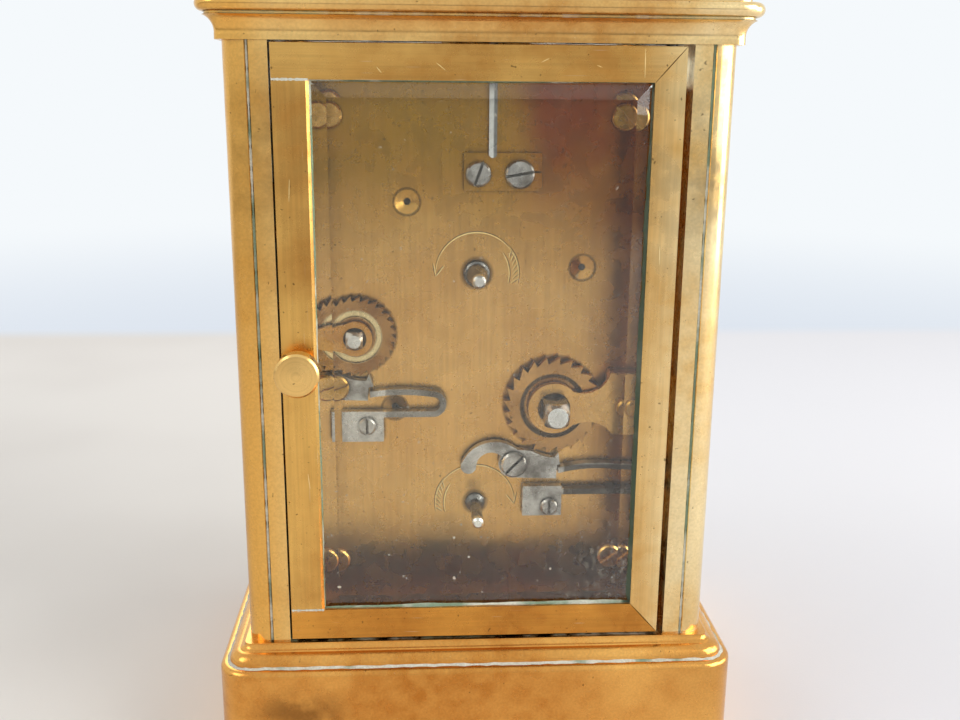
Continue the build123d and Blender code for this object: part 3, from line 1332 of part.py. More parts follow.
# Bell in the base, on a post from the bottom plate
shoulder_z = bell_rim_height + 5.0
crown_z = bell_rim_height + bell_rise
wall = bell_thickness
bell_face = face_of((bell_radius, bell_rim_height), (bell_radius - 0.9, shoulder_z),
                    ((bell_radius - 3.2, crown_z - 1.8), (bell_radius - 7.5, crown_z)),
                    (bell_stud_radius, crown_z),
                    (bell_stud_radius, crown_z - wall), (bell_radius - 7.7, crown_z - wall),
                    ((bell_radius - 4.0, crown_z - wall - 1.6), (bell_radius - 0.9 - wall, shoulder_z)),
                    (bell_radius - wall, bell_rim_height))
pieces["bell"] = Pos(bell_x, 0, 0) * revolve(Plane.XZ * bell_face, Axis.Z)
bell_post = turned_z((bell_x, 0),
                     [(2 * bell_post_radius, bottom_plate_thickness),
                      (2 * bell_post_radius, bottom_plate_thickness + 1.0),
                                   (bell_post_radius, bottom_plate_thickness + 1.0),
                      (bell_post_radius, crown_z - wall),
                                   (bell_stud_radius, crown_z - wall), (bell_stud_radius, crown_z + 1.4)])
bell_post -= rod_z((bell_x, 0), bottom_screw_radius, bottom_plate_thickness, bottom_screw_reach)
bell_nut = along_z(Pos(bell_x, 0) * (RegularPolygon(2.4, 6) - Circle(bell_stud_radius)), crown_z,
                   crown_z + 1.2)
pieces["bell_post"] = Compound(children=[bell_post, bell_nut])

# Setting arbors: through both plates, from a squared or tapered tail at the back to a hand at the front
hour_hand_back = dial_front - 1.2
minute_hand_back = hour_hand_back - hand_thickness - hand_gap
alarm_hand_back = dial_front - 0.8
motion_rear = front_plate_front - 0.5
cannon_front = minute_hand_back - hand_thickness
centre_arbor = turned_y(centre, [
    (centre_front_radius, cannon_front - 0.6), (centre_front_radius, centre_rear_end + 0.2),
    (centre_rear_radius, centre_rear_end + 0.2), (centre_rear_radius, back_plate_rear + 1.0),
    (centre_rear_radius - 0.3, back_plate_rear + 1.2),
    (centre_tip_radius + 0.1, back_plate_rear + centre_tip_length - 0.3),
    (centre_tip_radius - 0.2, back_plate_rear + centre_tip_length)])
cannon = along_y(pinion_outline(centre, cannon_teeth, minute_module, cannon_turn),
                 motion_rear - motion_thickness, motion_rear)
cannon += rod_y(centre, cannon_pipe_radius, cannon_front, motion_rear)
cannon -= rod_y(centre, centre_front_radius, cannon_front, motion_rear)
pieces["centre_arbor"] = Compound(children=[centre_arbor, cannon])
pieces["alarm_setting_arbor"] = turned_y(alarm_setting, [
    (alarm_stem_radius, alarm_hand_back - hand_thickness - 0.5), (alarm_stem_radius, back_plate_front - 1.0),
    (alarm_rear_radius, back_plate_front - 1.0), (alarm_rear_radius, back_plate_rear + 0.4),
    (alarm_stem_radius, back_plate_rear + 0.8),
    (alarm_stem_radius, back_plate_rear + alarm_stem_length - 0.3),
    (alarm_stem_radius - 0.3, back_plate_rear + alarm_stem_length)])

# Motion work behind the dial: the minute wheel on its stud, and the hour wheel on the cannon pipe
hour_rear = motion_rear - motion_thickness - 0.3
hour_front = hour_rear - wheel_thickness
minute_wheel = wheel_outline(minute, minute_teeth, minute_module, minute_wheel_turn)
minute_piece = along_y(minute_wheel, motion_rear - motion_thickness, motion_rear)
minute_piece += along_y(pinion_outline(minute, minute_leaves, hour_module, minute_pinion_turn), hour_front,
                        motion_rear - motion_thickness)
pieces["minute_wheel"] = minute_piece - rod_y(minute, minute_stud_radius + running_play, hour_front,
                                              motion_rear)
movement_screws.append(turned_y(minute, [
    (1.5, hour_front - 0.5), (1.5, hour_front - 0.1), (minute_stud_radius, hour_front - 0.1),
    (minute_stud_radius, front_plate_front), (pivot_radius, front_plate_front),
    (pivot_radius, front_plate_rear)]))
hour_piece = along_y(crossed_out(centre, wheel_outline(centre, hour_teeth, hour_module, hour_wheel_turn),
                                 3.0, 5.4, 3, 1.2), hour_front, hour_rear)
hour_piece += rod_y(centre, hour_pipe_radius, hour_hand_back - hand_thickness, hour_rear)
pieces["hour_wheel"] = hour_piece - rod_y(centre, cannon_pipe_radius + running_play,
                                          hour_hand_back - hand_thickness, hour_rear)

# Dial and hands
dial = block(-dial_width / 2, dial_width / 2, dial_front, dial_back, dial_middle_z - dial_height / 2,
             dial_middle_z + dial_height / 2)
dial -= rod_y(centre, dial_hole_radius, dial_front, dial_back)
dial -= rod_y(alarm_setting, alarm_stem_radius + 0.4, dial_front, dial_back)
for at in dial_feet:
    dial += rod_y(at, dial_foot_radius, dial_back, front_plate_rear)
pieces["dial"] = dial


def hand(at, hub, bore, length, ring, angle, back):
    """A steel hand: a hub, a tapered bar, an open ring and a point."""
    ring_middle = length * hand_ring_place
    bar = Polygon([(0, -hub * 0.5), (ring_middle - ring * hand_ring_lap, -hand_half_bar),
                   (ring_middle - ring * hand_ring_lap, hand_half_bar), (0, hub * 0.5)], align=None)
    point = Polygon([(ring_middle + ring * hand_ring_lap, -hand_half_point), (length, 0),
                     (ring_middle + ring * hand_ring_lap, hand_half_point)], align=None)
    opening = Pos(ring * hand_ring_shift, 0) * Circle(ring * hand_ring_hole)
    loop = Pos(ring_middle, 0) * (Circle(ring) - opening)
    flat = (Circle(hub) + bar + point + loop) - Circle(bore)
    return along_y(Pos(*at) * (Rot(0, 0, degrees(angle)) * flat), back - hand_thickness, back)


def clock_angle(share):
    """The direction of a hand that has gone through a share of its dial, as an angle from +X."""
    return pi / 2 - 2 * pi * share


pieces["minute_hand"] = hand(centre, minute_hand_hub, cannon_pipe_radius, minute_hand_length,
                             hand_ring_radius, clock_angle(shown_minute / 60), minute_hand_back)
pieces["hour_hand"] = hand(centre, hour_hand_hub, hour_pipe_radius, hour_hand_length, hand_ring_radius,
                           clock_angle((shown_hour + shown_minute / 60) / 12), hour_hand_back)
pieces["alarm_hand"] = hand(alarm_setting, alarm_hand_hub, alarm_stem_radius, alarm_hand_length,
                            alarm_ring_radius,
                            clock_angle(shown_alarm_hour / 12), alarm_hand_back)

# Platform: a brass plate across the tops of the movement plates, with the escapement on it
platform = block(platform_left, platform_right, front_plate_front, back_plate_rear, plates_top, platform_top)
for place in platform_screw_places:
    platform -= rod_z(place, platform_screw_radius, plates_top, platform_top)
    movement_screws.append(Pos(place[0], place[1], platform_top) * slotted_screw(
        platform_head_radius, platform_head_height, platform_screw_radius,
        platform_thickness + platform_screw_reach - screw_end_play, 40 + 10 * place[0]))
platform -= rod_z(escape_at, escape_module * (escape_leaves / 2 + 1) + 0.4, plates_top, platform_top)
for at in (pallet_at, balance_at):
    platform -= rod_z(at, small_pivot_radius + small_play, plates_top, platform_top)

# Escape wheel: club teeth in a flat wheel, and an upright pinion below the platform
escape_low = platform_top + escape_height
escape_high = escape_low + escape_thickness
escape_points = []
for n in range(escape_teeth):
    for radius, share in ((escape_radius - escape_tooth_depth, 0.0), (escape_radius - 0.25, 0.42),
                          (escape_radius, 0.55),
                          (escape_radius - 0.5, 0.6), (escape_radius - escape_tooth_depth, 0.5)):
        escape_points.append(polar(escape_at, radius, (n + share) * 2 * pi / escape_teeth))
escape_outline = crossed_out(escape_at, Polygon(escape_points, align=None), escape_hub,
                             escape_radius - escape_tooth_depth - escape_rim_width, 4, escape_spoke)
bridge_low = escape_high + bridge_clearance
bridge_high = bridge_low + bridge_thickness
leaf_middle = contrate[1] + crown_radius
leaf_low, leaf_high = leaf_middle - leaf_half_length, leaf_middle + leaf_half_length
escape_wheel = along_z(escape_outline, escape_low, escape_high)
escape_wheel += turned_z(escape_at, [
    (small_pivot_radius, potence_top - potence_thickness), (small_pivot_radius, potence_top + small_play),
    (escape_arbor_radius, potence_top + small_play), (escape_arbor_radius, bridge_low - small_play),
    (small_pivot_radius, bridge_low - small_play),
    (small_pivot_radius, bridge_high)])
escape_wheel += along_z(pinion_outline(escape_at, escape_leaves, escape_module, pi / 2 + pi / escape_leaves),
                        leaf_low, leaf_high)
pieces["escape_wheel"] = escape_wheel

# Pallet lever: its pallets stay just clear of the escape wheel through the whole swing, and its fork just
# clear of the balance's pin
escape_bearing = bearing(pallet_at, escape_at)
balance_bearing = bearing(pallet_at, balance_at)
lever_length = apart(pallet_at, balance_at) - roller_pin_reach - roller_pin_radius - 0.2
lever = Pos(*pallet_at) * Circle(pallet_hub)
lever += Polygon([polar(pallet_at, pallet_hub, balance_bearing + 1.3),
                  polar(pallet_at, pallet_hub, balance_bearing - 1.3),
                  polar(pallet_at, lever_length - 0.8, balance_bearing - 0.05),
                  polar(pallet_at, lever_length - 0.8, balance_bearing + 0.05)], align=None)
for side in (-1, 1):
    lever += Polygon([polar(pallet_at, lever_length - 1.1, balance_bearing),
                      polar(pallet_at, lever_length - 0.7, balance_bearing + side * 0.05),
                      polar(pallet_at, lever_length, balance_bearing + side * 0.09),
                      polar(pallet_at, lever_length, balance_bearing + side * 0.17),
                      polar(pallet_at, lever_length - 1.0, balance_bearing + side * 0.15)], align=None)
    lever += Polygon([polar(pallet_at, pallet_hub, escape_bearing - side * 0.5),
                      polar(pallet_at, pallet_reach, escape_bearing + side * pallet_angle),
                      polar(pallet_at, pallet_reach - 0.7, escape_bearing + side * (pallet_angle + 0.25)),
                      polar(pallet_at, pallet_hub, escape_bearing + side * 2.0)], align=None)
pallet_lever = along_z(lever, escape_low, escape_high)
pallet_lever += turned_z(pallet_at, [
    (small_pivot_radius, platform_top - pivot_hole_depth), (small_pivot_radius, platform_top + small_play),
    (pallet_arbor_radius, platform_top + small_play),
    (pallet_arbor_radius, bridge_low - small_play), (small_pivot_radius, bridge_low - small_play),
    (small_pivot_radius, bridge_high)])
pieces["pallet_lever"] = pallet_lever

# Upper bridge of the escape wheel and pallets, and the potence under the escape pinion
bridge_feet = Pos((bridge_foot_left + bridge_foot_right) / 2, (escape_y + pallet_at[1]) / 2) * Rectangle(
    bridge_foot_right - bridge_foot_left, pallet_at[1] - escape_y + 2 * arm_half_width)
bridge_arms = [Pos((at[0] - arm_half_width + bridge_foot_right) / 2, at[1])
               * Rectangle(bridge_foot_right - at[0] + arm_half_width, 2 * arm_half_width)
               for at in (escape_at, pallet_at)]
bridge = along_z(bridge_feet, platform_top, bridge_high)
for arm, at in zip(bridge_arms, (escape_at, pallet_at)):
    bridge += along_z(arm, bridge_low, bridge_high)
    bridge -= rod_z(at, small_pivot_radius + small_play, bridge_low, bridge_high)
bridge_middle = ((bridge_foot_left + bridge_foot_right) / 2, (escape_y + pallet_at[1]) / 2)
potence = block(escape_at[0] - arm_half_width, escape_at[0] + arm_half_width, front_plate_rear + 0.1,
                front_plate_rear + 1.0,
                potence_top - potence_thickness, plates_top)
potence += block(escape_at[0] - arm_half_width, escape_at[0] + arm_half_width, front_plate_rear + 0.1,
                 escape_y + 1.0,
                 potence_top - potence_thickness, potence_top)
potence -= rod_z(escape_at, small_pivot_radius + small_play, potence_top - potence_thickness, potence_top)
bridge -= rod_z(bridge_middle, cock_screw_radius, platform_top, bridge_high)
platform -= rod_z(bridge_middle, cock_screw_radius, plates_top, platform_top)
movement_screws.append(Pos(bridge_middle[0], bridge_middle[1], bridge_high) * slotted_screw(
    bridge_head_radius, bridge_head_height, cock_screw_radius, bridge_high - plates_top - 0.2, 70))
pieces["escape_cocks"] = Compound(children=[bridge, potence])

# Balance: a screwed rim with two spokes, its staff, and a roller with an upright pin
rim_low = platform_top + balance_height
rim_high = rim_low + balance_rim_height
rim_face = Pos(*balance_at) * (Circle(balance_rim_radius) - Circle(balance_rim_radius - balance_rim_width))
spoke = Pos(*balance_at) * (Rot(0, 0, 25)
                            * Rectangle(2 * balance_rim_radius - balance_rim_width, balance_spoke_width))
balance = along_z(rim_face, rim_low,
                  rim_high) + along_z(spoke + Pos(*balance_at) * Circle(balance_hub_radius), rim_low + 0.2,
                                      rim_high - 0.2)
for n in range(balance_screws):
    turn = Rot(0, 0, 10 + 360 * n / balance_screws)
    pin = Rot(0, 90, 0) * Cylinder(balance_screw_radius, balance_screw_length + 0.2,
                                   align=(Align.CENTER, Align.CENTER, Align.MIN))
    balance += Pos(balance_at[0], balance_at[1],
                   (rim_low + rim_high) / 2) * (turn * (Pos(balance_rim_radius - 0.2, 0, 0) * pin))
cock_under = platform_top + balance_cock_height
spring_low = platform_top + hairspring_height
spring_top = spring_low + hairspring_width
collet_radius = hairspring_inner - hairspring_thickness / 2 - small_play
balance += turned_z(balance_at, [
    (small_pivot_radius, platform_top - pivot_hole_depth), (small_pivot_radius, platform_top + small_play),
    (staff_radius, platform_top + small_play),
    (staff_radius, roller_low), (roller_radius, roller_low), (roller_radius, roller_low + roller_thickness),
    (staff_radius, roller_low + roller_thickness),
    (staff_radius, spring_low - 0.1), (collet_radius, spring_low - 0.1), (collet_radius, spring_top + 0.1),
    (staff_radius, spring_top + 0.1),
    (staff_radius, cock_under - small_play),
    (small_pivot_radius, cock_under - small_play), (small_pivot_radius, cock_under + pivot_hole_depth)])
pin_place = polar(balance_at, roller_pin_reach, bearing(balance_at, pallet_at))
balance += rod_z(pin_place, roller_pin_radius, escape_low, roller_low + 0.2)
pieces["balance"] = balance

# Hairspring: a flat spiral between the collet on the staff and a stud under the balance cock
coil = spiral_strip(hairspring_inner, hairspring_pitch, hairspring_turns, hairspring_thickness)
pieces["hairspring"] = along_z(Pos(*balance_at) * (Rot(0, 0, 90) * coil), spring_low, spring_top)

# Balance cock, with the spring's stud
cock_top = cock_under + balance_cock_thickness
foot_y = back_plate_rear - cock_foot_inset
bx, by = balance_at
arm_face = Polygon([(bx - cock_arm_half_width, by), (bx + cock_arm_half_width, by),
                    (bx + cock_foot_half_width, foot_y - cock_foot_half_depth),
                    (bx + cock_foot_half_width, foot_y + cock_foot_half_depth),
                    (bx - cock_foot_half_width, foot_y + cock_foot_half_depth),
                    (bx - cock_foot_half_width, foot_y - cock_foot_half_depth)], align=None)
arm_face += Pos(bx, by) * Circle(cock_arm_half_width)
cock = along_z(arm_face, cock_under, cock_top)
cock += block(bx - cock_foot_half_width, bx + cock_foot_half_width, foot_y - cock_foot_half_depth,
              foot_y + cock_foot_half_depth, platform_top, cock_under)
cock -= rod_z(balance_at, small_pivot_radius + small_play, cock_under, cock_top)
stud_y = by + hairspring_inner + hairspring_turns * hairspring_pitch + hairspring_thickness / 2 + small_play
cock += block(bx - spring_stud_half_width, bx + spring_stud_half_width, stud_y, stud_y + spring_stud_depth,
              spring_low - 0.1, cock_under)
cock += turned_z(balance_at,
                 [(index_boss_radius, cock_top), (index_boss_radius, cock_top + index_thickness + 0.1)])
for side in (-1, 1):
    place = (bx + side * cock_screw_place, foot_y)
    cock -= rod_z(place, cock_screw_radius, platform_top, cock_top)
    platform -= rod_z(place, cock_screw_radius, plates_top, platform_top)
    movement_screws.append(Pos(place[0], place[1], cock_top) * slotted_screw(
        cock_head_radius, cock_head_height, cock_screw_radius, cock_top - plates_top - 0.2, 30 * side))
pieces["balance_cock"] = cock
pieces["platform_plate"] = platform

# Regulator index: a ring round the boss on the cock, and a long arm bent down behind the back plate
index_low, index_high = cock_top, cock_top + index_thickness
strip_low_y = back_plate_rear + index_strip_gap
half_strip = index_strip_width / 2
index_face = Pos(bx, by) * Circle(index_ring_radius) + Pos(bx,
                                                           (by + strip_low_y)
                                                           / 2) * Rectangle(index_strip_width,
                                                                            strip_low_y - by)
index_face += Pos(bx, by - index_stub_place) * Rectangle(index_stub_width, index_stub_length)
index_face -= Pos(bx, by) * Circle(index_boss_radius + running_play)
index = along_z(index_face, index_low + 0.05, index_high)
strip_end = index_high - index_drop + half_strip
index += block(bx - half_strip, bx + half_strip, strip_low_y, strip_low_y + index_thickness, strip_end,
               index_high)
index += rod_y((bx, strip_end), half_strip, strip_low_y, strip_low_y + index_thickness)
pieces["regulator_index"] = index
pieces["movement_screws"] = Compound(children=movement_screws)

for name, piece in pieces.items():
    export_step(piece, f"parts/{name}.step")
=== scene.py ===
"""Looks for a brass carriage clock seen from behind, with its movement behind a dusty glass door."""

import random
from math import cos, hypot, pi, radians, sin

import bpy
from mathutils import Matrix, Vector


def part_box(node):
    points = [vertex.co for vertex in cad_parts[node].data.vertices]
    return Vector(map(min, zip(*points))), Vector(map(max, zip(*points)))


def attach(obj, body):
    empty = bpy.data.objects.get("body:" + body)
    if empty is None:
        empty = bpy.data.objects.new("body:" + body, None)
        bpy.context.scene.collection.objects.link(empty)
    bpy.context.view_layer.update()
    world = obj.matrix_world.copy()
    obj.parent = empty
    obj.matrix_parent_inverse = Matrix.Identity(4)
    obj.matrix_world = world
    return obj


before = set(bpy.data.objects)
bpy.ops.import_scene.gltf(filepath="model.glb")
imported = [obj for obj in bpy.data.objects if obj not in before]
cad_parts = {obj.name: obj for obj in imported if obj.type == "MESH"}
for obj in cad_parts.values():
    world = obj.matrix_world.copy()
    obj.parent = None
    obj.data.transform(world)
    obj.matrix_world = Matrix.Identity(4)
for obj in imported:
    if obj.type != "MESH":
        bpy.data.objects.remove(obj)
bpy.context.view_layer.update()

bl_info = {
    "name": "Carriage Clock Looks",
    "version": (1, 0, 0),
    "blender": (4, 5, 0),
    "location": "View3D > Sidebar > Clock",
    "description": "Dresses a carriage clock in tarnished brass, glass, steel and enamel",
    "category": "Object",
}

MM = 0.001


def mm(*sizes):
    """Millimetres as the scene's metres."""
    return tuple(size * MM for size in sizes)


def place(name, digits=1):
    """X and Z in millimetres of the middle of a CAD piece."""
    low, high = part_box(name)
    return tuple(round((low[n] + high[n]) / 2 / MM, digits) for n in (0, 2))


def linear(code):
    """The linear colour of an sRGB code such as #CCA256."""
    shares = [int(code[n:n + 2], 16) / 255 for n in (1, 3, 5)]
    return tuple(s / 12.92 if s <= 0.04045 else ((s + 0.055) / 1.055) ** 2.4 for s in shares)


def colour_property(name, text, code):
    """A colour that the sidebar shows, given as an sRGB code."""
    return bpy.props.FloatVectorProperty(
        name=name, description=text, subtype="COLOR", size=3, min=0, max=1, default=linear(code))


def length_property(name, text, size):
    """A length that the sidebar shows, given in millimetres."""
    return bpy.props.FloatProperty(name=name, description=text, unit="LENGTH", default=size * MM)


class ClockLooks(bpy.types.PropertyGroup):
    """The colours and sizes that the looks of the clock are made from."""

    case_bright: colour_property("Case brass", "Rubbed brass of the case", "#E3B363")
    case_dull: colour_property("Case tarnish", "Browned brass of the case", "#B98340")
    cast_bright: colour_property("Moulding brass", "Rubbed brass of the mouldings", "#EDC37A")
    cast_dull: colour_property("Moulding tarnish", "Browned brass of the mouldings", "#C58E4A")
    lock_side: colour_property("Lock side brass", "Orange lacquer left on the lock side", "#E1980F")
    # painted reflection: this pale brass paints the hinge side of the case paler, and also fills the bright
    # turned ring of the upper ratchet
    rubbed: colour_property("Rubbed brass", "Pale brass where hands rub the hinge side", "#FFE6AE")
    rail_bright: colour_property("Low rail brass", "Orange brass of the door's bottom rail", "#DE9E48")
    rail_dull: colour_property("Low rail tarnish", "Brown tarnish of the door's bottom rail", "#B0702E")
    base_bright: colour_property("Base brass", "Rubbed brass of the base", "#F0B460")
    base_dull: colour_property("Base tarnish", "Orange-brown tarnish of the base", "#C37E35")
    base_cloud: colour_property("Base cloud", "Brown cloud on the rear of the base", "#7E5228")
    plate_bright: colour_property("Plate brass", "Clean brass of the movement plates", "#DFAE66")
    plate_dull: colour_property("Plate tarnish", "Browned brass of the movement plates", "#BF8438")
    plate_olive: colour_property("Plate olive", "Greenish tarnish of the plates", "#AA7F2C")
    plate_grey: colour_property("Plate grey", "Grey-brown side of the back plate", "#966030")
    plate_red: colour_property("Plate red", "Red-brown tarnish of the plates", "#8A4012")
    wheel_bright: colour_property("Wheel brass", "Clean brass of the wheels", "#D9B068")
    wheel_dull: colour_property("Wheel tarnish", "Darker brass of the wheels", "#9A6F35")
    ratchet_bright: colour_property("Ratchet brass", "Clean brass of the ratchet wheels", "#D3A05C")
    ratchet_dull: colour_property("Ratchet tarnish", "Brown tarnish of the ratchet wheels", "#8A5C2C")
    cut_bright: colour_property("Cut brass", "Fresh brass in a cut line", "#FFEBB4")
    cut_dull: colour_property("Cut brass shade", "Duller fresh brass in a cut line", "#F3CE80")
    # painted shade: these two colours paint the shaded wall beside each line cut in the back plate
    oiled_cut_bright: colour_property("Oiled cut", "Cut brass under old oil", "#6B4A22")
    oiled_cut_dull: colour_property("Oiled cut shade", "Cut brass under thick old oil", "#4A3216")
    mitre_bright: colour_property("Mitre", "Old oil in the door's mitres", "#5C3F1C")
    mitre_dull: colour_property("Mitre shade", "Thick old oil in the door's mitres", "#3E2A12")
    verdigris: colour_property("Verdigris", "Green corrosion in the creases", "#7C9078")
    residue: colour_property("Polish residue", "Dried white polish in the grooves", "#CFCDBE")
    steel_bright: colour_property("Steel", "Polished steel", "#CFCAC4")
    steel_dull: colour_property("Steel tarnish", "Greyed steel", "#6B635B")
    # painted highlight: this pale steel also paints the bright edge of the regulator's arm
    rubbed_steel: colour_property("Rubbed steel", "Bright ends of the arbors", "#F4F2EE")
    blued_bright: colour_property("Blued steel", "Heat-blued steel of the hands", "#1E2C5C")
    blued_dull: colour_property("Violet steel", "Violet cast where the heat ran on", "#3A2A5E")
    enamel: colour_property("Enamel", "White enamel of the dial", "#F1EFE6")
    enamel_cream: colour_property("Enamel cream", "Creamier clouds in the enamel", "#E6E1D2")
    enamel_speck: colour_property("Enamel speck", "Grey specks in the enamel", "#6E6658")
    print_black: colour_property("Dial black", "Black of the numerals", "#15141A")
    print_grey: colour_property("Dial grey", "Thinner places in the numerals", "#3A3842")
    bell_bright: colour_property("Bell metal", "Polished bell metal", "#D8B486")
    bell_dull: colour_property("Bell tarnish", "Brown tarnish of the bell", "#A27A4C")
    glass: colour_property("Glass", "Barely green plate glass", "#FCFDFB")
    dust: colour_property("Dust", "Pale dust on the glass", "#C6BBA8")
    cloth: colour_property("Floor", "Pale cream floor", "#E9E3DC")
    cloth_wave: colour_property("Floor wave", "Slightly darker waves of the floor", "#DCD5CE")
    cloth_cool: colour_property("Cool floor", "Cooler white of the floor at the hinge side", "#E7E5E7")
    cloth_shade: colour_property("Floor shade", "Soft grey shade beside the clock", "#D7D5D8")
    wall: colour_property("Backdrop", "Pale bluish backdrop", "#F5F9FC")
    wall_foot: colour_property("Backdrop foot", "Bluer and darker foot of the backdrop", "#DBE3EE")

    numeral_height: length_property("Numeral height", "Height of the hour numerals", 5.4)
    numeral_foot: length_property("Numeral foot", "Radius at the feet of the hour numerals", 15.4)
    track_radius: length_property("Minute track", "Outer radius of the minute track", 23.2)
    print_depth: length_property("Print depth", "How far the printing stands on the enamel", 0.02)
    arrow_radius: length_property("Arrow radius", "Radius of the arrows cut in the back plate", 6.4)
    cut_width: length_property("Cut width", "Width of a line cut in the back plate", 0.2)
    seam_width: length_property("Seam width", "Width of the residue round the door glass", 0.72)
    floor_end: length_property("Floor end", "How far behind the clock the floor meets the backdrop", 290)


# what lies on the metals: brushed lines, pinpricks, scratches, old oil, and painted shade and a painted
# reflection on brass and on steel
BRUSHED_LINE = linear("#3F301D")
PINPRICK = linear("#382C19")
SCRATCH = linear("#F9EDCE")
CREASE_OIL_AND_SHADE = linear("#292116")
CREASE_SHADE = linear("#302916")
DISH_SHADE = linear("#30271D")
SHAFT_DARK = (linear("#35302D"), linear("#302D29"))
SPRING_ARM_SHADE = (linear("#3F3527"), linear("#382F22"))
STRIP_SHADE = (linear("#3F3C3C"), linear("#383535"))
PIVOT_STEEL_AND_SHADE = (linear("#59524B"), linear("#302C27"))
PLATE_OIL_AND_SHADE = linear("#352919")
SINK_OIL = linear("#453521")
FOOT_DARK_REFLECTION = linear("#442E16")
DAMP_CRUST = linear("#303F2D")
CRUST_GRAIN = linear("#595945")

# places in millimetres, from the frame
CENTRE = place("centre_arbor")
ALARM_CENTRE = place("alarm_setting_arbor")
GOING_SQUARE = place("going_ratchet_wheel")
ALARM_SQUARE = place("alarm_ratchet_wheel")
PIVOTS = (place("third_wheel"), place("intermediate_wheel"), place("alarm_wheel"))
PLATE_REAR = round(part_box("back_plate")[1].y / MM, 3)
PILLAR_END = 19.75      # X beyond which the brass ends of the pillars show
OIL_SINK = 2.05
# each place of the back plate darkened as old oil and painted shade, the radii between which it fades, and how
# dark it is
OILED_AND_SHADED = ((GOING_SQUARE, 7.7, 8.3, 0.85), (ALARM_SQUARE, 6.2, 6.8, 0.8), (CENTRE, 2.2, 2.9, 0.75),
         (ALARM_CENTRE, 1.8, 2.4, 0.6), *((at, 0.5, 0.9, 0.9) for at in PIVOTS))

# settings of the nodes
SMOOTH = {"interpolation_type": "SMOOTHSTEP"}
OVER = {"data_type": "RGBA"}
TIMES, PLUS, LESS, MOST = ({"operation": name, "use_clamp": True}
                           for name in ("MULTIPLY", "ADD", "SUBTRACT", "MAXIMUM"))
APART = {"operation": "DISTANCE"}


def looks():
    """The sizes and colours of this scene."""
    return bpy.context.scene.clock_looks


def put(tree, kind, values=(), out=None, **settings):
    """Adds one node with its settings and links, and returns an output of it.

    A tuple of values fills the node's shown sockets in their order, and a dict fills the named ones.
    Without out it is the first shown output.
    """
    made = tree.nodes.new("ShaderNode" + kind)
    for key, value in settings.items():
        setattr(made, key, value)
    if isinstance(values, dict):
        pairs = [(made.inputs[key], value) for key, value in values.items()]
    else:
        pairs = zip([socket for socket in made.inputs if socket.enabled], values)
    for socket, value in pairs:
        if isinstance(value, bpy.types.NodeSocket):
            tree.links.new(value, socket)
        elif socket.type == "RGBA" and len(value) == 3:
            socket.default_value = (*value, 1)
        else:
            socket.default_value = value
    shown = [socket for socket in made.outputs if socket.enabled]
    return made.outputs[out] if out else shown[0] if shown else None


def per(size):
    """The scale of a pattern whose patches are size millimetres across."""
    return 1 / (size * MM)


def patches(tree, where, size, low, high, to_low=0.0, to_high=1.0, detail=2.0, rough=0.5):
    """Soft-edged patches of size millimetres: to_low where the pattern is under low, to_high over high."""
    pattern = put(tree, "TexNoise", (where, per(size), detail, rough))
    return put(tree, "MapRange", (pattern, low, high, to_low, to_high), **SMOOTH)


def layered(tree, colour, *layers):
    """A colour with others laid over it in turn, each given with its share."""
    for share, over in layers:
        colour = put(tree, "Mix", (share, colour, over), **OVER)
    return colour


def both_under(tree, share, sides, overs):
    """The bright and the dull colour of a metal, each under its own one of overs by share."""
    return [layered(tree, side, (share, over)) for side, over in zip(sides, overs)]


def new_material(name):
    """An empty material, its tree and the place of each point."""
    material = bpy.data.materials.new(name)
    material.use_nodes = True
    tree = material.node_tree
    tree.nodes.clear()
    return material, tree, put(tree, "TexCoord", out="Object")


def from_axis(tree, where, centre):
    """How far each point is from the line along Y through centre, an X and Z in millimetres."""
    flat = put(tree, "Mapping", {"Vector": where, "Scale": (1, 0, 1)})
    return put(tree, "VectorMath", (flat, mm(centre[0], 0, centre[1])), **APART)


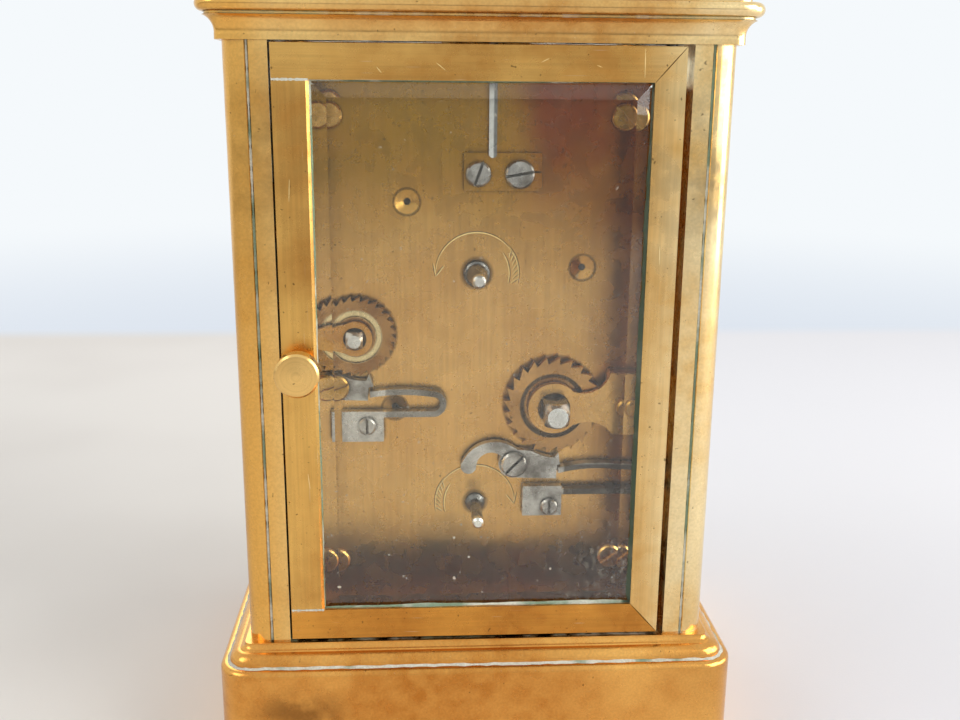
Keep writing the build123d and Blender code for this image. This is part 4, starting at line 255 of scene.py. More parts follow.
def aged_metal(name, finish, rough, grime, patch=22.2, brushed=(1, 1, 1), tint=None, scratched=0.25,
               oiled=0.0, mottled=0.4, axis=None, clean=None, grain=0.05):
    """A worn, tarnished metal.

    finish names its bright and its dull colour, rough is its lowest and highest roughness, grime
    how much residue fills its creases, which also get a painted shade whenever grime is set, patch the
    size of the tarnish patches in millimetres, brushed how each axis is drawn out, tint a function that
    gives the colours by place, scratched how bright its fine scratches are, oiled how dark
    its creases are painted as old oil and painted shade, mottled how much the tarnish varies within a
    patch, axis the X and Z in millimetres that the piece was turned round, clean a function that gives
    the share that no old oil or painted shade darkens, and grain how deep the brushed lines are.
    """
    material, tree, where = new_material(name)
    bright, dull = (getattr(looks(), f"{finish}_{end}") for end in ("bright", "dull"))
    # broad clouds of tarnish, then 3 mm mottling and dark pinpricks, as handled brass has
    clouds = patches(tree, where, patch, 0.36, 0.68, detail=4.0, rough=0.6)
    mottle = put(tree, "TexNoise", (where, per(3.03), 4.0, 0.6))
    pricks = patches(tree, where, 0.667, 0.745, 0.79, 0.0, 0.6, detail=1.0)
    if axis:
        # the tool leaves fine rings round the axis
        drawn = put(tree, "CombineXYZ", (from_axis(tree, where, axis),))
    else:
        drawn = put(tree, "Mapping", {"Vector": where, "Scale": brushed})
    # real brushing is finer than 0.1 mm, and is drawn at 0.4 mm so that it shows
    lines = put(tree, "TexNoise", (drawn, per(0.3846)))
    share = put(tree, "MapRange", (mottle, 0.3, 0.7, 1.0 - mottled, 1.0), **SMOOTH)
    share = put(tree, "Math", (clouds, share), **TIMES)
    if tint:
        bright, dull = tint(tree, where, bright, dull)
    dark_lines = put(tree, "MapRange", (lines, 0.3, 0.7, 0.0, 0.12), **SMOOTH)
    # sparse bright scratches along the grain
    scratches = patches(tree, drawn, 0.1923, 0.80, 0.86, 0.0, scratched, detail=0.0)
    colour = layered(tree, bright, (share, dull), (dark_lines, BRUSHED_LINE), (pricks, PINPRICK),
                     (scratches, SCRATCH))
    metallic = 1.0
    gloss = put(tree, "MapRange", (mottle, 0.3, 0.7, *rough), **SMOOTH)
    if oiled:
        # painted shade: ambient occlusion darkens the creases, standing for shade there as well as old oil
        crease = put(tree, "AmbientOcclusion", {"Distance": 0.9 * MM}, "AO", samples=6)
        oil_and_shade = put(tree, "MapRange", (crease, 0.35, 0.85, oiled, 0.0), **SMOOTH)
        if clean:
            oil_and_shade = put(tree, "Math", (oil_and_shade, put(tree, "Math", (1.0, clean(tree, where)), **LESS)), **TIMES)
        colour = layered(tree, colour, (oil_and_shade, CREASE_OIL_AND_SHADE))
    if grime:
        # creases keep green corrosion and dried polish, which isn't metal and isn't shiny, and are darkened by
        # ambient occlusion as painted shade
        nook = put(tree, "AmbientOcclusion", {"Distance": 1.4 * MM}, "AO", samples=6)
        crust = put(tree, "MapRange", (nook, 0.25, 0.60, 1.0, 0.0), **SMOOTH)
        shadow = put(tree, "MapRange", (nook, 0.12, 0.5, 0.85, 0.0), **SMOOTH)
        uneven = patches(tree, where, 3.85, 0.38, 0.60, 0.0, grime, detail=4.0, rough=0.7)
        crust = put(tree, "Math", (crust, uneven), **TIMES)
        pale = patches(tree, where, 11.1, 0.45, 0.58)
        pale = layered(tree, looks().verdigris, (pale, looks().residue))
        colour = layered(tree, colour, (shadow, CREASE_SHADE), (crust, pale))
        gloss = put(tree, "Math", (gloss, put(tree, "Math", (crust, 0.5), **TIMES)), **PLUS)
        metallic = put(tree, "Math", (1.0, crust), **LESS)
    surface = {"Base Color": colour, "Roughness": gloss, "Metallic": metallic}
    if grain:
        surface["Normal"] = put(tree, "Bump", {"Height": lines, "Strength": grain, "Distance": 0.01 * MM})
    put(tree, "OutputMaterial", (put(tree, "BsdfPrincipled", surface),))
    return material


def ring_share(tree, where, centre, radius, half_width):
    """1 on a circle round centre in X and Z, falling to 0 at half_width on either side of it."""
    off = put(tree, "Math", (from_axis(tree, where, centre), radius * MM), operation="SUBTRACT")
    off = put(tree, "Math", (off,), operation="ABSOLUTE")
    return put(tree, "MapRange", (off, *mm(half_width * 0.4, half_width), 1.0, 0.0), **SMOOTH)


def base_tint(tree, where, bright, dull):
    """A brown cloud on the rear face of the base, near the lock side, wider than it is high."""
    flat = put(tree, "Mapping", {"Vector": where, "Scale": (1, 0, 1.5)})
    away = put(tree, "VectorMath", (flat, mm(28, 0, 14 * 1.5)), **APART)
    cloud = put(tree, "MapRange", (away, *mm(2, 10), 0.75, 0.0), **SMOOTH)
    uneven = patches(tree, where, 6.25, 0.3, 0.6, detail=4.0, rough=0.6)
    cloud = put(tree, "Math", (cloud, uneven), **TIMES)
    return both_under(tree, cloud, (bright, dull), (looks().base_cloud,) * 2)


def ratchet_tint(tree, where, bright, dull):
    """A painted shade ring in the dish round the lower ratchet's hub, under the cock, and a bright turned one
    round the upper's.
    """
    dish = put(tree, "Math", (ring_share(tree, where, GOING_SQUARE, 4.95, 0.55), 0.88), **TIMES)
    turned = ring_share(tree, where, ALARM_SQUARE, 3.7, 0.7)
    sides = both_under(tree, dish, (bright, dull), (DISH_SHADE,) * 2)
    return both_under(tree, turned, sides, (looks().rubbed,) * 2)


def tip_tint(tip):
    """A tint that keeps an arbor's tip bright and its shaft darker; tip is the Y of its end."""
    def tint(tree, where, bright, dull):
        depth = put(tree, "SeparateXYZ", (where,), "Y")
        shaft = put(tree, "MapRange", (depth, *mm(tip - 0.7, tip - 1.6), 0.0, 0.82), **SMOOTH)
        return both_under(tree, shaft, (looks().rubbed_steel, bright), SHAFT_DARK)
    return tint


def spring_tint(tree, where, bright, dull):
    """The arms of the two click springs are painted darker as shade, unlike their feet and the clicks."""
    x, _, z = put(tree, "SeparateXYZ", (where,)).node.outputs
    # the going spring's arm lies beyond its foot, below the click
    going = put(tree, "Math", (put(tree, "MapRange", (x, *mm(-14.2, -14.6)), **SMOOTH),
                               put(tree, "MapRange", (z, *mm(49.6, 49.2)), **SMOOTH)), **TIMES)
    going = put(tree, "Math", (going, 0.85), **TIMES)
    # the alarm spring's arm lies between its foot and the middle of the plate
    alarm = put(tree, "Math", (put(tree, "MapRange", (x, *mm(14.6, 14.2)), **SMOOTH),
                               put(tree, "MapRange", (x, *mm(4.0, 5.0)), **SMOOTH)), **TIMES)
    alarm = put(tree, "Math", (alarm, put(tree, "MapRange", (z, *mm(63.0, 62.0)), **SMOOTH)), **TIMES)
    dark = put(tree, "Math", (going, put(tree, "Math", (alarm, 0.55), **TIMES)), **MOST)
    return both_under(tree, dark, (bright, dull), SPRING_ARM_SHADE)


def strip_tint(tree, where, bright, dull):
    """The regulator's arm has a painted highlight along one edge, and painted shade along the other and near
    the platform.
    """
    x, _, z = put(tree, "SeparateXYZ", (where,)).node.outputs
    edge = put(tree, "MapRange", (x, *mm(-2.15, -2.45), 0.0, 0.75), **SMOOTH)
    high = put(tree, "Math", (put(tree, "MapRange", (z, *mm(106.5, 108.5)), **SMOOTH),
                              put(tree, "MapRange", (z, *mm(113.0, 112.0)), **SMOOTH)), **TIMES)
    dark = put(tree, "Math", (edge, put(tree, "Math", (high, 0.8), **TIMES)), **MOST)
    return both_under(tree, dark, (looks().rubbed_steel, bright), STRIP_SHADE)


def side_tint(tree, where, bright, dull):
    """The hinge side of the case is painted paler, a painted reflection, and the lock side is more orange."""
    across = put(tree, "SeparateXYZ", (where,), "X")
    rubbed = put(tree, "MapRange", (across, *mm(-20, -32)), **SMOOTH)
    orange = put(tree, "MapRange", (across, *mm(28, 34), 0.0, 0.45), **SMOOTH)
    return [layered(tree, colour, (rubbed, pale), (orange, looks().lock_side))
            for colour, pale in ((bright, looks().rubbed), (dull, looks().case_bright))]


def plate_tint(tree, where, bright, dull):
    """Tarnish of the back plate: olive at one top corner, red-brown at the other and grey-brown below it."""
    x, _, z = put(tree, "SeparateXYZ", (where,)).node.outputs
    # the borders of the tarnish wander by up to 14 mm across and 20 mm up
    wander = put(tree, "TexNoise", (where, per(14.3), 3.0))
    side = put(tree, "Math", (wander, 14 * MM, x), operation="MULTIPLY_ADD")
    height = put(tree, "Math", (wander, 20 * MM, z), operation="MULTIPLY_ADD")
    high = put(tree, "MapRange", (height, *mm(88, 112)), **SMOOTH)
    red = put(tree, "Math", (put(tree, "MapRange", (side, *mm(4.5, -6)), **SMOOTH), high), **TIMES)
    grey = put(tree, "MapRange", (side, *mm(-6, -19), 0.0, 0.85), **SMOOTH)
    base = layered(tree, bright, (high, looks().plate_olive), (grey, looks().plate_grey),
                   (red, looks().plate_red))
    # old oil and painted shade darken the plate under the ratchet wheels and round the arbors
    for at, inner, outer, amount in OILED_AND_SHADED:
        away = put(tree, "VectorMath", (where, mm(at[0], PLATE_REAR, at[1])), **APART)
        oil_and_shade = put(tree, "MapRange", (away, *mm(inner, outer), amount, 0.0), **SMOOTH)
        base = layered(tree, base, (oil_and_shade, PLATE_OIL_AND_SHADE))
    for at in PIVOTS:
        edge = put(tree, "Math", (ring_share(tree, where, at, OIL_SINK, 0.28), 0.7), **TIMES)
        base = layered(tree, base, (edge, SINK_OIL))
    # painted reflection: the plate's foot is darkened, standing for the dark inside of the door's bottom rail
    # mirrored in it
    foot = put(tree, "MapRange", (height, *mm(51, 41), 0.0, 0.62), **SMOOTH)
    base = layered(tree, base, (foot, FOOT_DARK_REFLECTION))
    return base, layered(tree, base, (0.45, dull))


def brass_ends(tree, where):
    """1 where the brass ends of the pillars show near the plate's sides, and 0 elsewhere."""
    side = put(tree, "Math", (put(tree, "SeparateXYZ", (where,), "X"),), operation="ABSOLUTE")
    return put(tree, "MapRange", (side, *mm(PILLAR_END - 0.25, PILLAR_END + 0.25)), **SMOOTH)


def screw_tint(tree, where, bright, dull):
    """Brass where the pillars' ends show near the plate's sides, and steel everywhere else."""
    brass = brass_ends(tree, where)
    return both_under(tree, brass, (bright, dull), (looks().plate_bright, looks().plate_olive))


def pivot_tint(tree, where, bright, dull):
    """The pivots' ends in the back plate are steel, painted dark as shade in the plate's holes, and the wheels
    are brass.
    """
    depth = put(tree, "SeparateXYZ", (where,), "Y")
    end = put(tree, "MapRange", (depth, *mm(PLATE_REAR - 1.7, PLATE_REAR - 1.3)), **SMOOTH)
    return both_under(tree, end, (bright, dull), PIVOT_STEEL_AND_SHADE)


def clear_glass(name, dust_amount, dusty_foot):
    """Plate glass that lets the lamps through, with a film and specks of dust on it.

    dust_amount is how dusty it is, and dusty_foot the two heights in millimetres between which the
    dust at its foot fades.
    """
    material, tree, where = new_material(name)
    ray = put(tree, "LightPath", out="Is Shadow Ray")
    clear = put(tree, "BsdfGlass", {"Color": looks().glass, "Roughness": 0.0, "IOR": 1.5})
    pane = put(tree, "MixShader", (ray, clear, put(tree, "BsdfTransparent", (looks().glass,))))
    # dust: a thin cloudy film, 1 mm specks, and more of both near the foot of the pane
    film = patches(tree, where, 14.3, 0.45, 0.75, 0.0, 0.02, detail=5.0, rough=0.7)
    specks = patches(tree, where, 1.11, 0.76, 0.80, detail=1.0)
    upright = put(tree, "Mapping", {"Vector": where, "Scale": (1, 1, 0.45)})
    smears = patches(tree, upright, 0.769, 0.55, 0.68, 0.0, 0.27, detail=4.0, rough=0.7)
    x, _, z = put(tree, "SeparateXYZ", (where,)).node.outputs
    foot = put(tree, "MapRange", (z, *mm(*dusty_foot), 1.0, 0.0), **SMOOTH)
    hinge_side = put(tree, "MapRange", (x, *mm(-4, -21), 0.04, 1.0), **SMOOTH)
    smears = put(tree, "Math", (smears, hinge_side), **TIMES)
    kept = put(tree, "MapRange", (foot, 0.0, 1.0, 0.3, 1.0), **SMOOTH)
    grains = put(tree, "Math", (put(tree, "Math", (specks, kept), **TIMES),
                                put(tree, "Math", (smears, foot), **TIMES)), **MOST)
    share = put(tree, "Math", (put(tree, "Math", (film, grains), **PLUS), dust_amount), **TIMES)
    dusty = put(tree, "MixShader", (share, pane, put(tree, "BsdfDiffuse", (looks().dust,))))
    put(tree, "OutputMaterial", (dusty,))
    return material


def crust_material(name, pale_low, pale_high, dark_side=None):
    """Dried polish and verdigris: chalky, uneven and never shiny, and darker beyond the X of dark_side."""
    material, tree, where = new_material(name)
    pale = patches(tree, where, 7.14, pale_low, pale_high, detail=3.0)
    colour = layered(tree, looks().verdigris, (pale, looks().residue))
    if dark_side:
        across = put(tree, "SeparateXYZ", (where,), "X")
        damp = put(tree, "MapRange", (across, *mm(dark_side + 0.6, dark_side), 0.0, 0.85), **SMOOTH)
        colour = layered(tree, colour, (damp, DAMP_CRUST))
    # chalk grains are finer than 0.1 mm, and are drawn at 0.3 mm so that they show
    grain = put(tree, "TexNoise", (where, per(0.333), 3.0))
    dark_grain = put(tree, "MapRange", (grain, 0.3, 0.7, 0.0, 0.3), **SMOOTH)
    colour = layered(tree, colour, (dark_grain, CRUST_GRAIN))
    bump = put(tree, "Bump", {"Height": grain, "Strength": 0.5, "Distance": 0.05 * MM})
    chalk = put(tree, "BsdfPrincipled", {"Base Color": colour, "Roughness": 0.85, "Normal": bump})
    put(tree, "OutputMaterial", (chalk,))
    return material


def enamel_material(name):
    """Fired white enamel: glossy, with faint orange-peel waves and a few dark specks."""
    material, tree, where = new_material(name)
    clouds = patches(tree, where, 20, 0.4, 0.7, detail=3.0)
    specks = patches(tree, where, 0.556, 0.77, 0.80, 0.0, 0.6, detail=1.0)
    colour = layered(tree, looks().enamel, (clouds, looks().enamel_cream), (specks, looks().enamel_speck))
    waves = put(tree, "TexNoise", (where, per(2.5), 1.0))
    bump = put(tree, "Bump", {"Height": waves, "Strength": 0.06, "Distance": 0.05 * MM})
    put(tree, "OutputMaterial", (put(tree, "BsdfPrincipled", {
        "Base Color": colour, "Roughness": 0.12, "IOR": 1.52, "Normal": bump}),))
    return material


def ink_material(name):
    """Black fired numerals: nearly black, with a soft sheen."""
    material, tree, where = new_material(name)
    thin = patches(tree, where, 1.11, 0.5, 0.8, 0.0, 0.4, detail=3.0)
    colour = layered(tree, looks().print_black, (thin, looks().print_grey))
    put(tree, "OutputMaterial", (put(tree, "BsdfPrincipled", {"Base Color": colour, "Roughness": 0.3}),))
    return material


def dress(material, *nodes):
    """Gives CAD nodes this material in every slot."""
    for name in nodes:
        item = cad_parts[name]
        if not item.data.materials:
            item.data.materials.append(material)
        for n in range(len(item.material_slots)):
            item.material_slots[n].material = material


def mesh_piece(name, points, faces, materials, body, picks=None):
    """A mesh object from points in millimetres that rides on a body."""
    data = bpy.data.meshes.new(name)
    data.from_pydata([tuple(c * MM for c in p) for p in points], [], faces)
    for material in materials:
        data.materials.append(material)
    for face, pick in zip(data.polygons, picks or []):
        face.material_index = pick
    data.update()
    piece = bpy.data.objects.new(name, data)
    bpy.context.scene.collection.objects.link(piece)
    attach(piece, body)
    return piece


def band(path, low, high, points, faces, closed=False):
    """Joins two rows of points, low and high, beside each other along a path."""
    first = len(points)
    count = len(path)
    for n in range(count):
        points += [low(n, path[n]), high(n, path[n])]
    last = count if closed else count - 1
    for n in range(last):
        a, b = first + 2 * n, first + 2 * ((n + 1) % count)
        faces.append((a, a + 1, b + 1, b))


# sizes of the dial's printing in millimetres
NUMERALS = ("XII", "I", "II", "III", "IIII", "V", "VI", "VII", "VIII", "IX", "X", "XI")
THICK, THIN, SERIF = 0.95, 0.22, 0.20
GLYPH_WIDTH = {"I": 1.55, "V": 3.0, "X": 3.1}
TRACK_GAP, TRACK_LINE = 1.3, 0.12
MINUTE_TICK, HOUR_TICK = 0.14, 0.55
INNER_RING_GAP, FINE_LINE = 0.9, 0.1
ALARM_OUTER, ALARM_INNER = 9.3, 8.4
ALARM_HOUR_TICK, ALARM_QUARTER_TICK = 0.22, 0.09
FIGURE_HEIGHT, FIGURE_RADIUS = 2.3, 6.9


def glyph_strokes(letter, height):
    """The outlines of one Roman letter, from its left foot, in millimetres."""
    wide = GLYPH_WIDTH[letter]
    if letter == "I":
        middle = wide / 2
        stem = [(middle - THICK / 2, 0), (middle + THICK / 2, 0),
                (middle + THICK / 2, height), (middle - THICK / 2, height)]
        bars = [(0.15, wide - 0.15, 0), (0.15, wide - 0.15, height - SERIF)]
        outlines = [stem]
    elif letter == "V":
        foot = wide / 2
        outlines = [
            [(foot - 0.1, 0), (foot + 0.25, 0), (0.55 + THICK, height), (0.55, height)],
            [(foot - 0.1, 0), (foot + 0.12, 0), (wide - 0.45, height), (wide - 0.45 - THIN, height)]]
        bars = [(0.1, 0.75 + THICK, height - SERIF), (wide - 1.1, wide - 0.05, height - SERIF)]
    else:
        outlines = [
            [(wide - 0.5 - THICK, 0), (wide - 0.5, 0), (0.5 + THICK, height), (0.5, height)],
            [(0.5, 0), (0.5 + THIN, 0), (wide - 0.5, height), (wide - 0.5 - THIN, height)]]
        bars = [(0.05, 1.05, 0), (wide - 1.75, wide - 0.1, 0),
                (0.1, 1.75, height - SERIF), (wide - 1.05, wide - 0.05, height - SERIF)]
    return outlines + [[(a, v), (b, v), (b, v + SERIF), (a, v + SERIF)] for a, b, v in bars]


def dial_point(centre, angle, across, out, y):
    """A point of the dial's face, out from its centre along a clock angle and across it."""
    return (centre[0] + out * sin(angle) + across * cos(angle), y,
            centre[1] + out * cos(angle) - across * sin(angle))


def ring(points, faces, centre, radius, width, y, steps=180):
    """A printed circle."""
    path = [2 * pi * n / steps for n in range(steps)]
    band(path, lambda n, t: dial_point(centre, t, 0, radius - width, y),
         lambda n, t: dial_point(centre, t, 0, radius, y), points, faces, closed=True)


def ticks(points, faces, centre, count, inner, outer, width, y, skip=0):
    """Printed radial strokes round a circle, without every skipth one."""
    for n in range(count):
        if skip and n % skip == 0:
            continue
        first = len(points)
        for across, out in ((-width / 2, inner), (width / 2, inner), (width / 2, outer), (-width / 2, outer)):
            points.append(dial_point(centre, 2 * pi * n / count, across, out, y))
        faces.append((first, first + 1, first + 2, first + 3))


def print_dial():
    """Hour numerals, minute track and alarm ring on the enamel."""
    face_y = (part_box("dial")[0].y - looks().print_depth) / MM
    points, faces = [], []
    height, foot = looks().numeral_height / MM, looks().numeral_foot / MM
    for n, numeral in enumerate(NUMERALS):
        angle = 2 * pi * n / len(NUMERALS)
        at = -sum(GLYPH_WIDTH[c] for c in numeral) / 2
        for letter in numeral:
            for outline in glyph_strokes(letter, height):
                first = len(points)
                for u, v in outline:
                    # strokes spread with their distance from the centre, as on a painted dial
                    spread = (foot + v) / (foot + height / 2)
                    points.append(dial_point(CENTRE, angle, (at + u) * spread, foot + v, face_y))
                faces.append(tuple(range(first, first + len(outline))))
            at += GLYPH_WIDTH[letter]
    track = looks().track_radius / MM
    # the strokes lap both rings of their track
    inner, outer = track - TRACK_GAP - 0.05, track - 0.1
    ring(points, faces, CENTRE, track, TRACK_LINE, face_y)
    ring(points, faces, CENTRE, track - TRACK_GAP, TRACK_LINE, face_y)
    ticks(points, faces, CENTRE, 60, inner, outer, MINUTE_TICK, face_y, skip=5)
    ticks(points, faces, CENTRE, 12, inner, outer, HOUR_TICK, face_y)
    ring(points, faces, CENTRE, foot - INNER_RING_GAP, FINE_LINE, face_y)
    inner, outer = ALARM_INNER - 0.05, ALARM_OUTER - 0.05
    for radius in (ALARM_OUTER, ALARM_INNER):
        ring(points, faces, ALARM_CENTRE, radius, FINE_LINE, face_y, 120)
    ticks(points, faces, ALARM_CENTRE, 12, inner, outer, ALARM_HOUR_TICK, face_y)
    ticks(points, faces, ALARM_CENTRE, 48, inner + 0.35, outer, ALARM_QUARTER_TICK, face_y, skip=4)
    ink = ink_material("fired_black_enamel")
    mesh_piece("dial_printing", points, faces, [ink], "case")
    for n in range(1, 13):
        text = bpy.data.curves.new("alarm_figure", "FONT")
        text.body = str(n)
        text.size = FIGURE_HEIGHT * MM
        text.align_x, text.align_y = "CENTER", "CENTER"
        shape = bpy.data.objects.new("alarm_figure", text)
        bpy.context.scene.collection.objects.link(shape)
        bpy.context.view_layer.update()
        data = bpy.data.meshes.new_from_object(shape)
        bpy.data.objects.remove(shape)
        middle = dial_point(ALARM_CENTRE, 2 * pi * n / 12, 0, FIGURE_RADIUS, face_y)
        data.transform(Matrix.Translation(mm(*middle)) @ Matrix.Rotation(pi / 2, 4, "X"))
        data.materials.append(ink)
        piece = bpy.data.objects.new(f"alarm_figure_{n}", data)
        bpy.context.scene.collection.objects.link(piece)
        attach(piece, "case")


def cut_line(points, faces, picks, path, width, y, pick):
    """A flat line along a path of (x, z) points on a face, thinner at its ends."""
    first_face = len(faces)
    count = len(path)

    def side(sign):
        def at(n, spot):
            before, after = path[max(n - 1, 0)], path[min(n + 1, count - 1)]
            dx, dz = after[0] - before[0], after[1] - before[1]
            reach = hypot(dx, dz) or 1.0
            half = sign * width * (0.35 + 0.65 * sin(pi * n / (count - 1))) / 2
            return (spot[0] - dz / reach * half, y, spot[1] + dx / reach * half)
        return at

    band(path, side(1), side(-1), points, faces)
    picks += [pick] * (len(faces) - first_face)


def straight(start, end, steps):
    """Points along a straight line, both ends with it."""
    return [tuple(a + (b - a) * n / steps for a, b in zip(start, end)) for n in range(steps + 1)]


def arc(centre, radius, start, end, steps=28):
    """Points along an arc; angles are degrees from the leaf's side of the arrow towards its head."""
    turns = [radians(start + (end - start) * n / steps) for n in range(steps + 1)]
    return [(centre[0] - radius * cos(t), centre[1] + radius * sin(t)) for t in turns]


HEAD_ANGLE, BARB_LENGTH, BARB_ANGLES = 184, 2.1, (52, 100)
LEAF_START, LEAF_STEP, LEAF_LINES = 34, 7, 7


def engrave_arrow(name, centre, radius, y, bright, dark, way=1):
    """A curved arrow cut in the back plate, with barbs at its head and a leaf at its tail.

    Each line is cut twice, bright and beside it dark as a painted shade of the cut's wall, and way -1 turns the
    arrow round.
    """
    points, faces, picks = [], [], []
    width = looks().cut_width / MM
    for pick, shift, share in ((0, 0.0, 1.0), (1, 0.16, 0.6)):
        lines = [arc(centre, radius + shift, 28, 176)]
        # the leaf's outer and inner edges, then its veins
        lines.append(arc(centre, radius + 0.15 + shift, -14, 42))
        lines.append(arc((centre[0] + 0.55, centre[1] - 0.1), radius - 0.75 + shift, -16, 36))
        tip = arc(centre, radius + shift, HEAD_ANGLE, HEAD_ANGLE, 1)[0]
        for spread in BARB_ANGLES:
            end = (tip[0] - BARB_LENGTH * cos(radians(spread)), tip[1] + BARB_LENGTH * sin(radians(spread)))
            lines.append(straight(tip, end, 6))
        for step in range(LEAF_LINES):
            leaf = LEAF_START - LEAF_STEP * step
            lines.append([arc(centre, radius + out + shift, leaf - back, leaf - back, 1)[0]
                          for out, back in ((0.1, 0), (-0.35, 3), (-0.8, 8))])
        for path in lines:
            path = [(centre[0] + way * (x - centre[0]), z) for x, z in path]
            cut_line(points, faces, picks, path, width * share, y, pick)
    return mesh_piece(name, points, faces, [bright, dark], "case", picks)


def engrave_plate():
    """The two arrows that show which way the arbors are turned."""
    choice = looks()
    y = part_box("back_plate")[1].y / MM + 0.012
    # fresh cuts are pale and matt, and a painted shade lies along one side of each
    bright = aged_metal("freshly_cut_brass", "cut", (0.5, 0.6), 0.0, mottled=0.1)
    dark = aged_metal("old_oil_in_cut_brass", "oiled_cut", (0.5, 0.7), 0.0)
    radius = choice.arrow_radius / MM
    engrave_arrow("centre_arrow_cut", CENTRE, radius, y, bright, dark)
    engrave_arrow("alarm_arrow_cut", ALARM_CENTRE, radius, y, bright, dark, way=-1)


def seam_piece(name, corners, shares, inward, y_wall, y_glass, material, body, seed):
    """A thin irregular fillet of residue inside a rectangular opening; shares give each side's width."""
    chance = random.Random(seed)
    path, limits = [], []
    for n, corner in enumerate(corners):
        following = corners[(n + 1) % len(corners)]
        reach = hypot(following[0] - corner[0], following[1] - corner[1])
        count = max(2, int(reach / 0.8))
        path += straight(corner, following, count)[:-1]
        limits += [shares[n]] * count
    centre_x = sum(c[0] for c in corners) / len(corners)
    centre_z = sum(c[1] for c in corners) / len(corners)
    half_x = max(abs(c[0] - centre_x) for c in corners)
    half_z = max(abs(c[1] - centre_z) for c in corners)
    widths = []
    drift = 0.6
    for limit in limits:
        drift = min(1.0, max(0.35, drift + chance.uniform(-0.12, 0.12)))
        widths.append(drift * limit * inward)
    points, faces = [], []

    def wall(n, at):
        return (at[0], y_glass + (y_wall - y_glass) * widths[n] / inward, at[1])

    def pane(n, at):
        x = centre_x + (at[0] - centre_x) * (half_x - widths[n]) / half_x
        z = centre_z + (at[1] - centre_z) * (half_z - widths[n]) / half_z
        return (x, y_glass + 0.04 + 0.27 * widths[n], z)

    band(path, wall, pane, points, faces, closed=True)
    return mesh_piece(name, points, faces, [material], body)


def rounded_path(half_x, half_y, turn_radius, runs=60):
    """Points and outward directions round a rectangle with turned corners."""
    path = []
    corners = ((1, 1), (-1, 1), (-1, -1), (1, -1), (1, 1))
    for n in range(4):
        sign_x, sign_y = corners[n]
        for k in range(9):
            angle = pi / 2 * (n + k / 8)
            path.append((sign_x * (half_x - turn_radius) + turn_radius * cos(angle),
                         sign_y * (half_y - turn_radius) + turn_radius * sin(angle), cos(angle), sin(angle)))
        start = path[-1]
        end = (corners[n + 1][0] * (half_x - turn_radius) + turn_radius * start[2],
               corners[n + 1][1] * (half_y - turn_radius) + turn_radius * start[3])
        path += [(*spot, *start[2:]) for spot in straight(start[:2], end, runs)[1:-1]]
    return path


# the groove along the top of the base: how far it lies inside the base's sides and below its top
GROOVE_INSET, GROOVE_DOWN, BASE_CORNER = 1.45, 3.0, 5.0
# the V groove beside each column: the column's radius, half the groove's width, and the filling's depth
COLUMN, HALF_GROOVE, SUNK = 3.4, 0.35, 0.22


def groove_filling():
    """Dried polish that fills the groove along the top of the base, and the grooves of the pillars."""
    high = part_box("base_frame")[1] / MM
    shoulder = high.z - GROOVE_DOWN
    path = rounded_path(high.x - GROOVE_INSET, high.y - GROOVE_INSET, BASE_CORNER - GROOVE_INSET)
    chance = random.Random(3)
    tops = [shoulder + 0.12 + 0.20 * chance.random() for _ in path]
    widths = [0.30 + 0.30 * chance.random() for _ in path]
    points, faces = [], []
    band(path, lambda n, at: (at[0], at[1], tops[n]),
         lambda n, at: (at[0] + at[2] * widths[n], at[1] + at[3] * widths[n], shoulder + 0.012),
         points, faces, closed=True)
    white = crust_material("dried_polish_in_groove", 0.28, 0.42)
    mesh_piece("base_groove_residue", points, faces, [white], "case")
    # the V grooves stand beside each column, on both outer faces of each pillar
    low, high = (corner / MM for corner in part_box("corner_pillars"))
    points, faces = [], []
    for side_x in (-1, 1):
        for side_y in (-1, 1):
            for turned in (False, True):
                path = [low.z + 0.2 + (high.z - low.z - 0.4) * n / 90 for n in range(91)]
                along = (high.y if turned else high.x) - COLUMN - HALF_GROOVE
                widths = [0.08 + 0.15 * chance.random() for _ in path]
                depth = (high.x if turned else high.y) - SUNK

                def edge(sign):
                    def at(n, z):
                        a = along + sign * widths[n]
                        return (side_x * depth, side_y * a, z) if turned else (side_x * a, side_y * depth, z)
                    return at

                band(path, edge(1), edge(-1), points, faces)
    grey = crust_material("verdigris_in_pillar_grooves", 0.40, 0.60)
    mesh_piece("pillar_groove_residue", points, faces, [grey], "case")


# X, Z, lean from upright in radians and length of each fine scratch in the door
DOOR_SCRATCHES = ((-22.5, 110.3, 0.02, 3.9), (5.2, 111.0, 0.9, 1.6), (-8.0, 112.2, -1.1, 1.2),
                  (14.0, 110.6, 0.7, 1.0), (-16.5, 111.6, 1.2, 0.8), (25.6, 50.0, 0.1, 2.4),
                  (27.2, 93.0, -0.05, 3.1), (-25.9, 84.0, 0.04, 2.7))
MITRE_WIDTH, SCRATCH_WIDTH = 0.14, 0.09
JOINT_LENGTH, JOINT_GAP = 5.0, 0.05


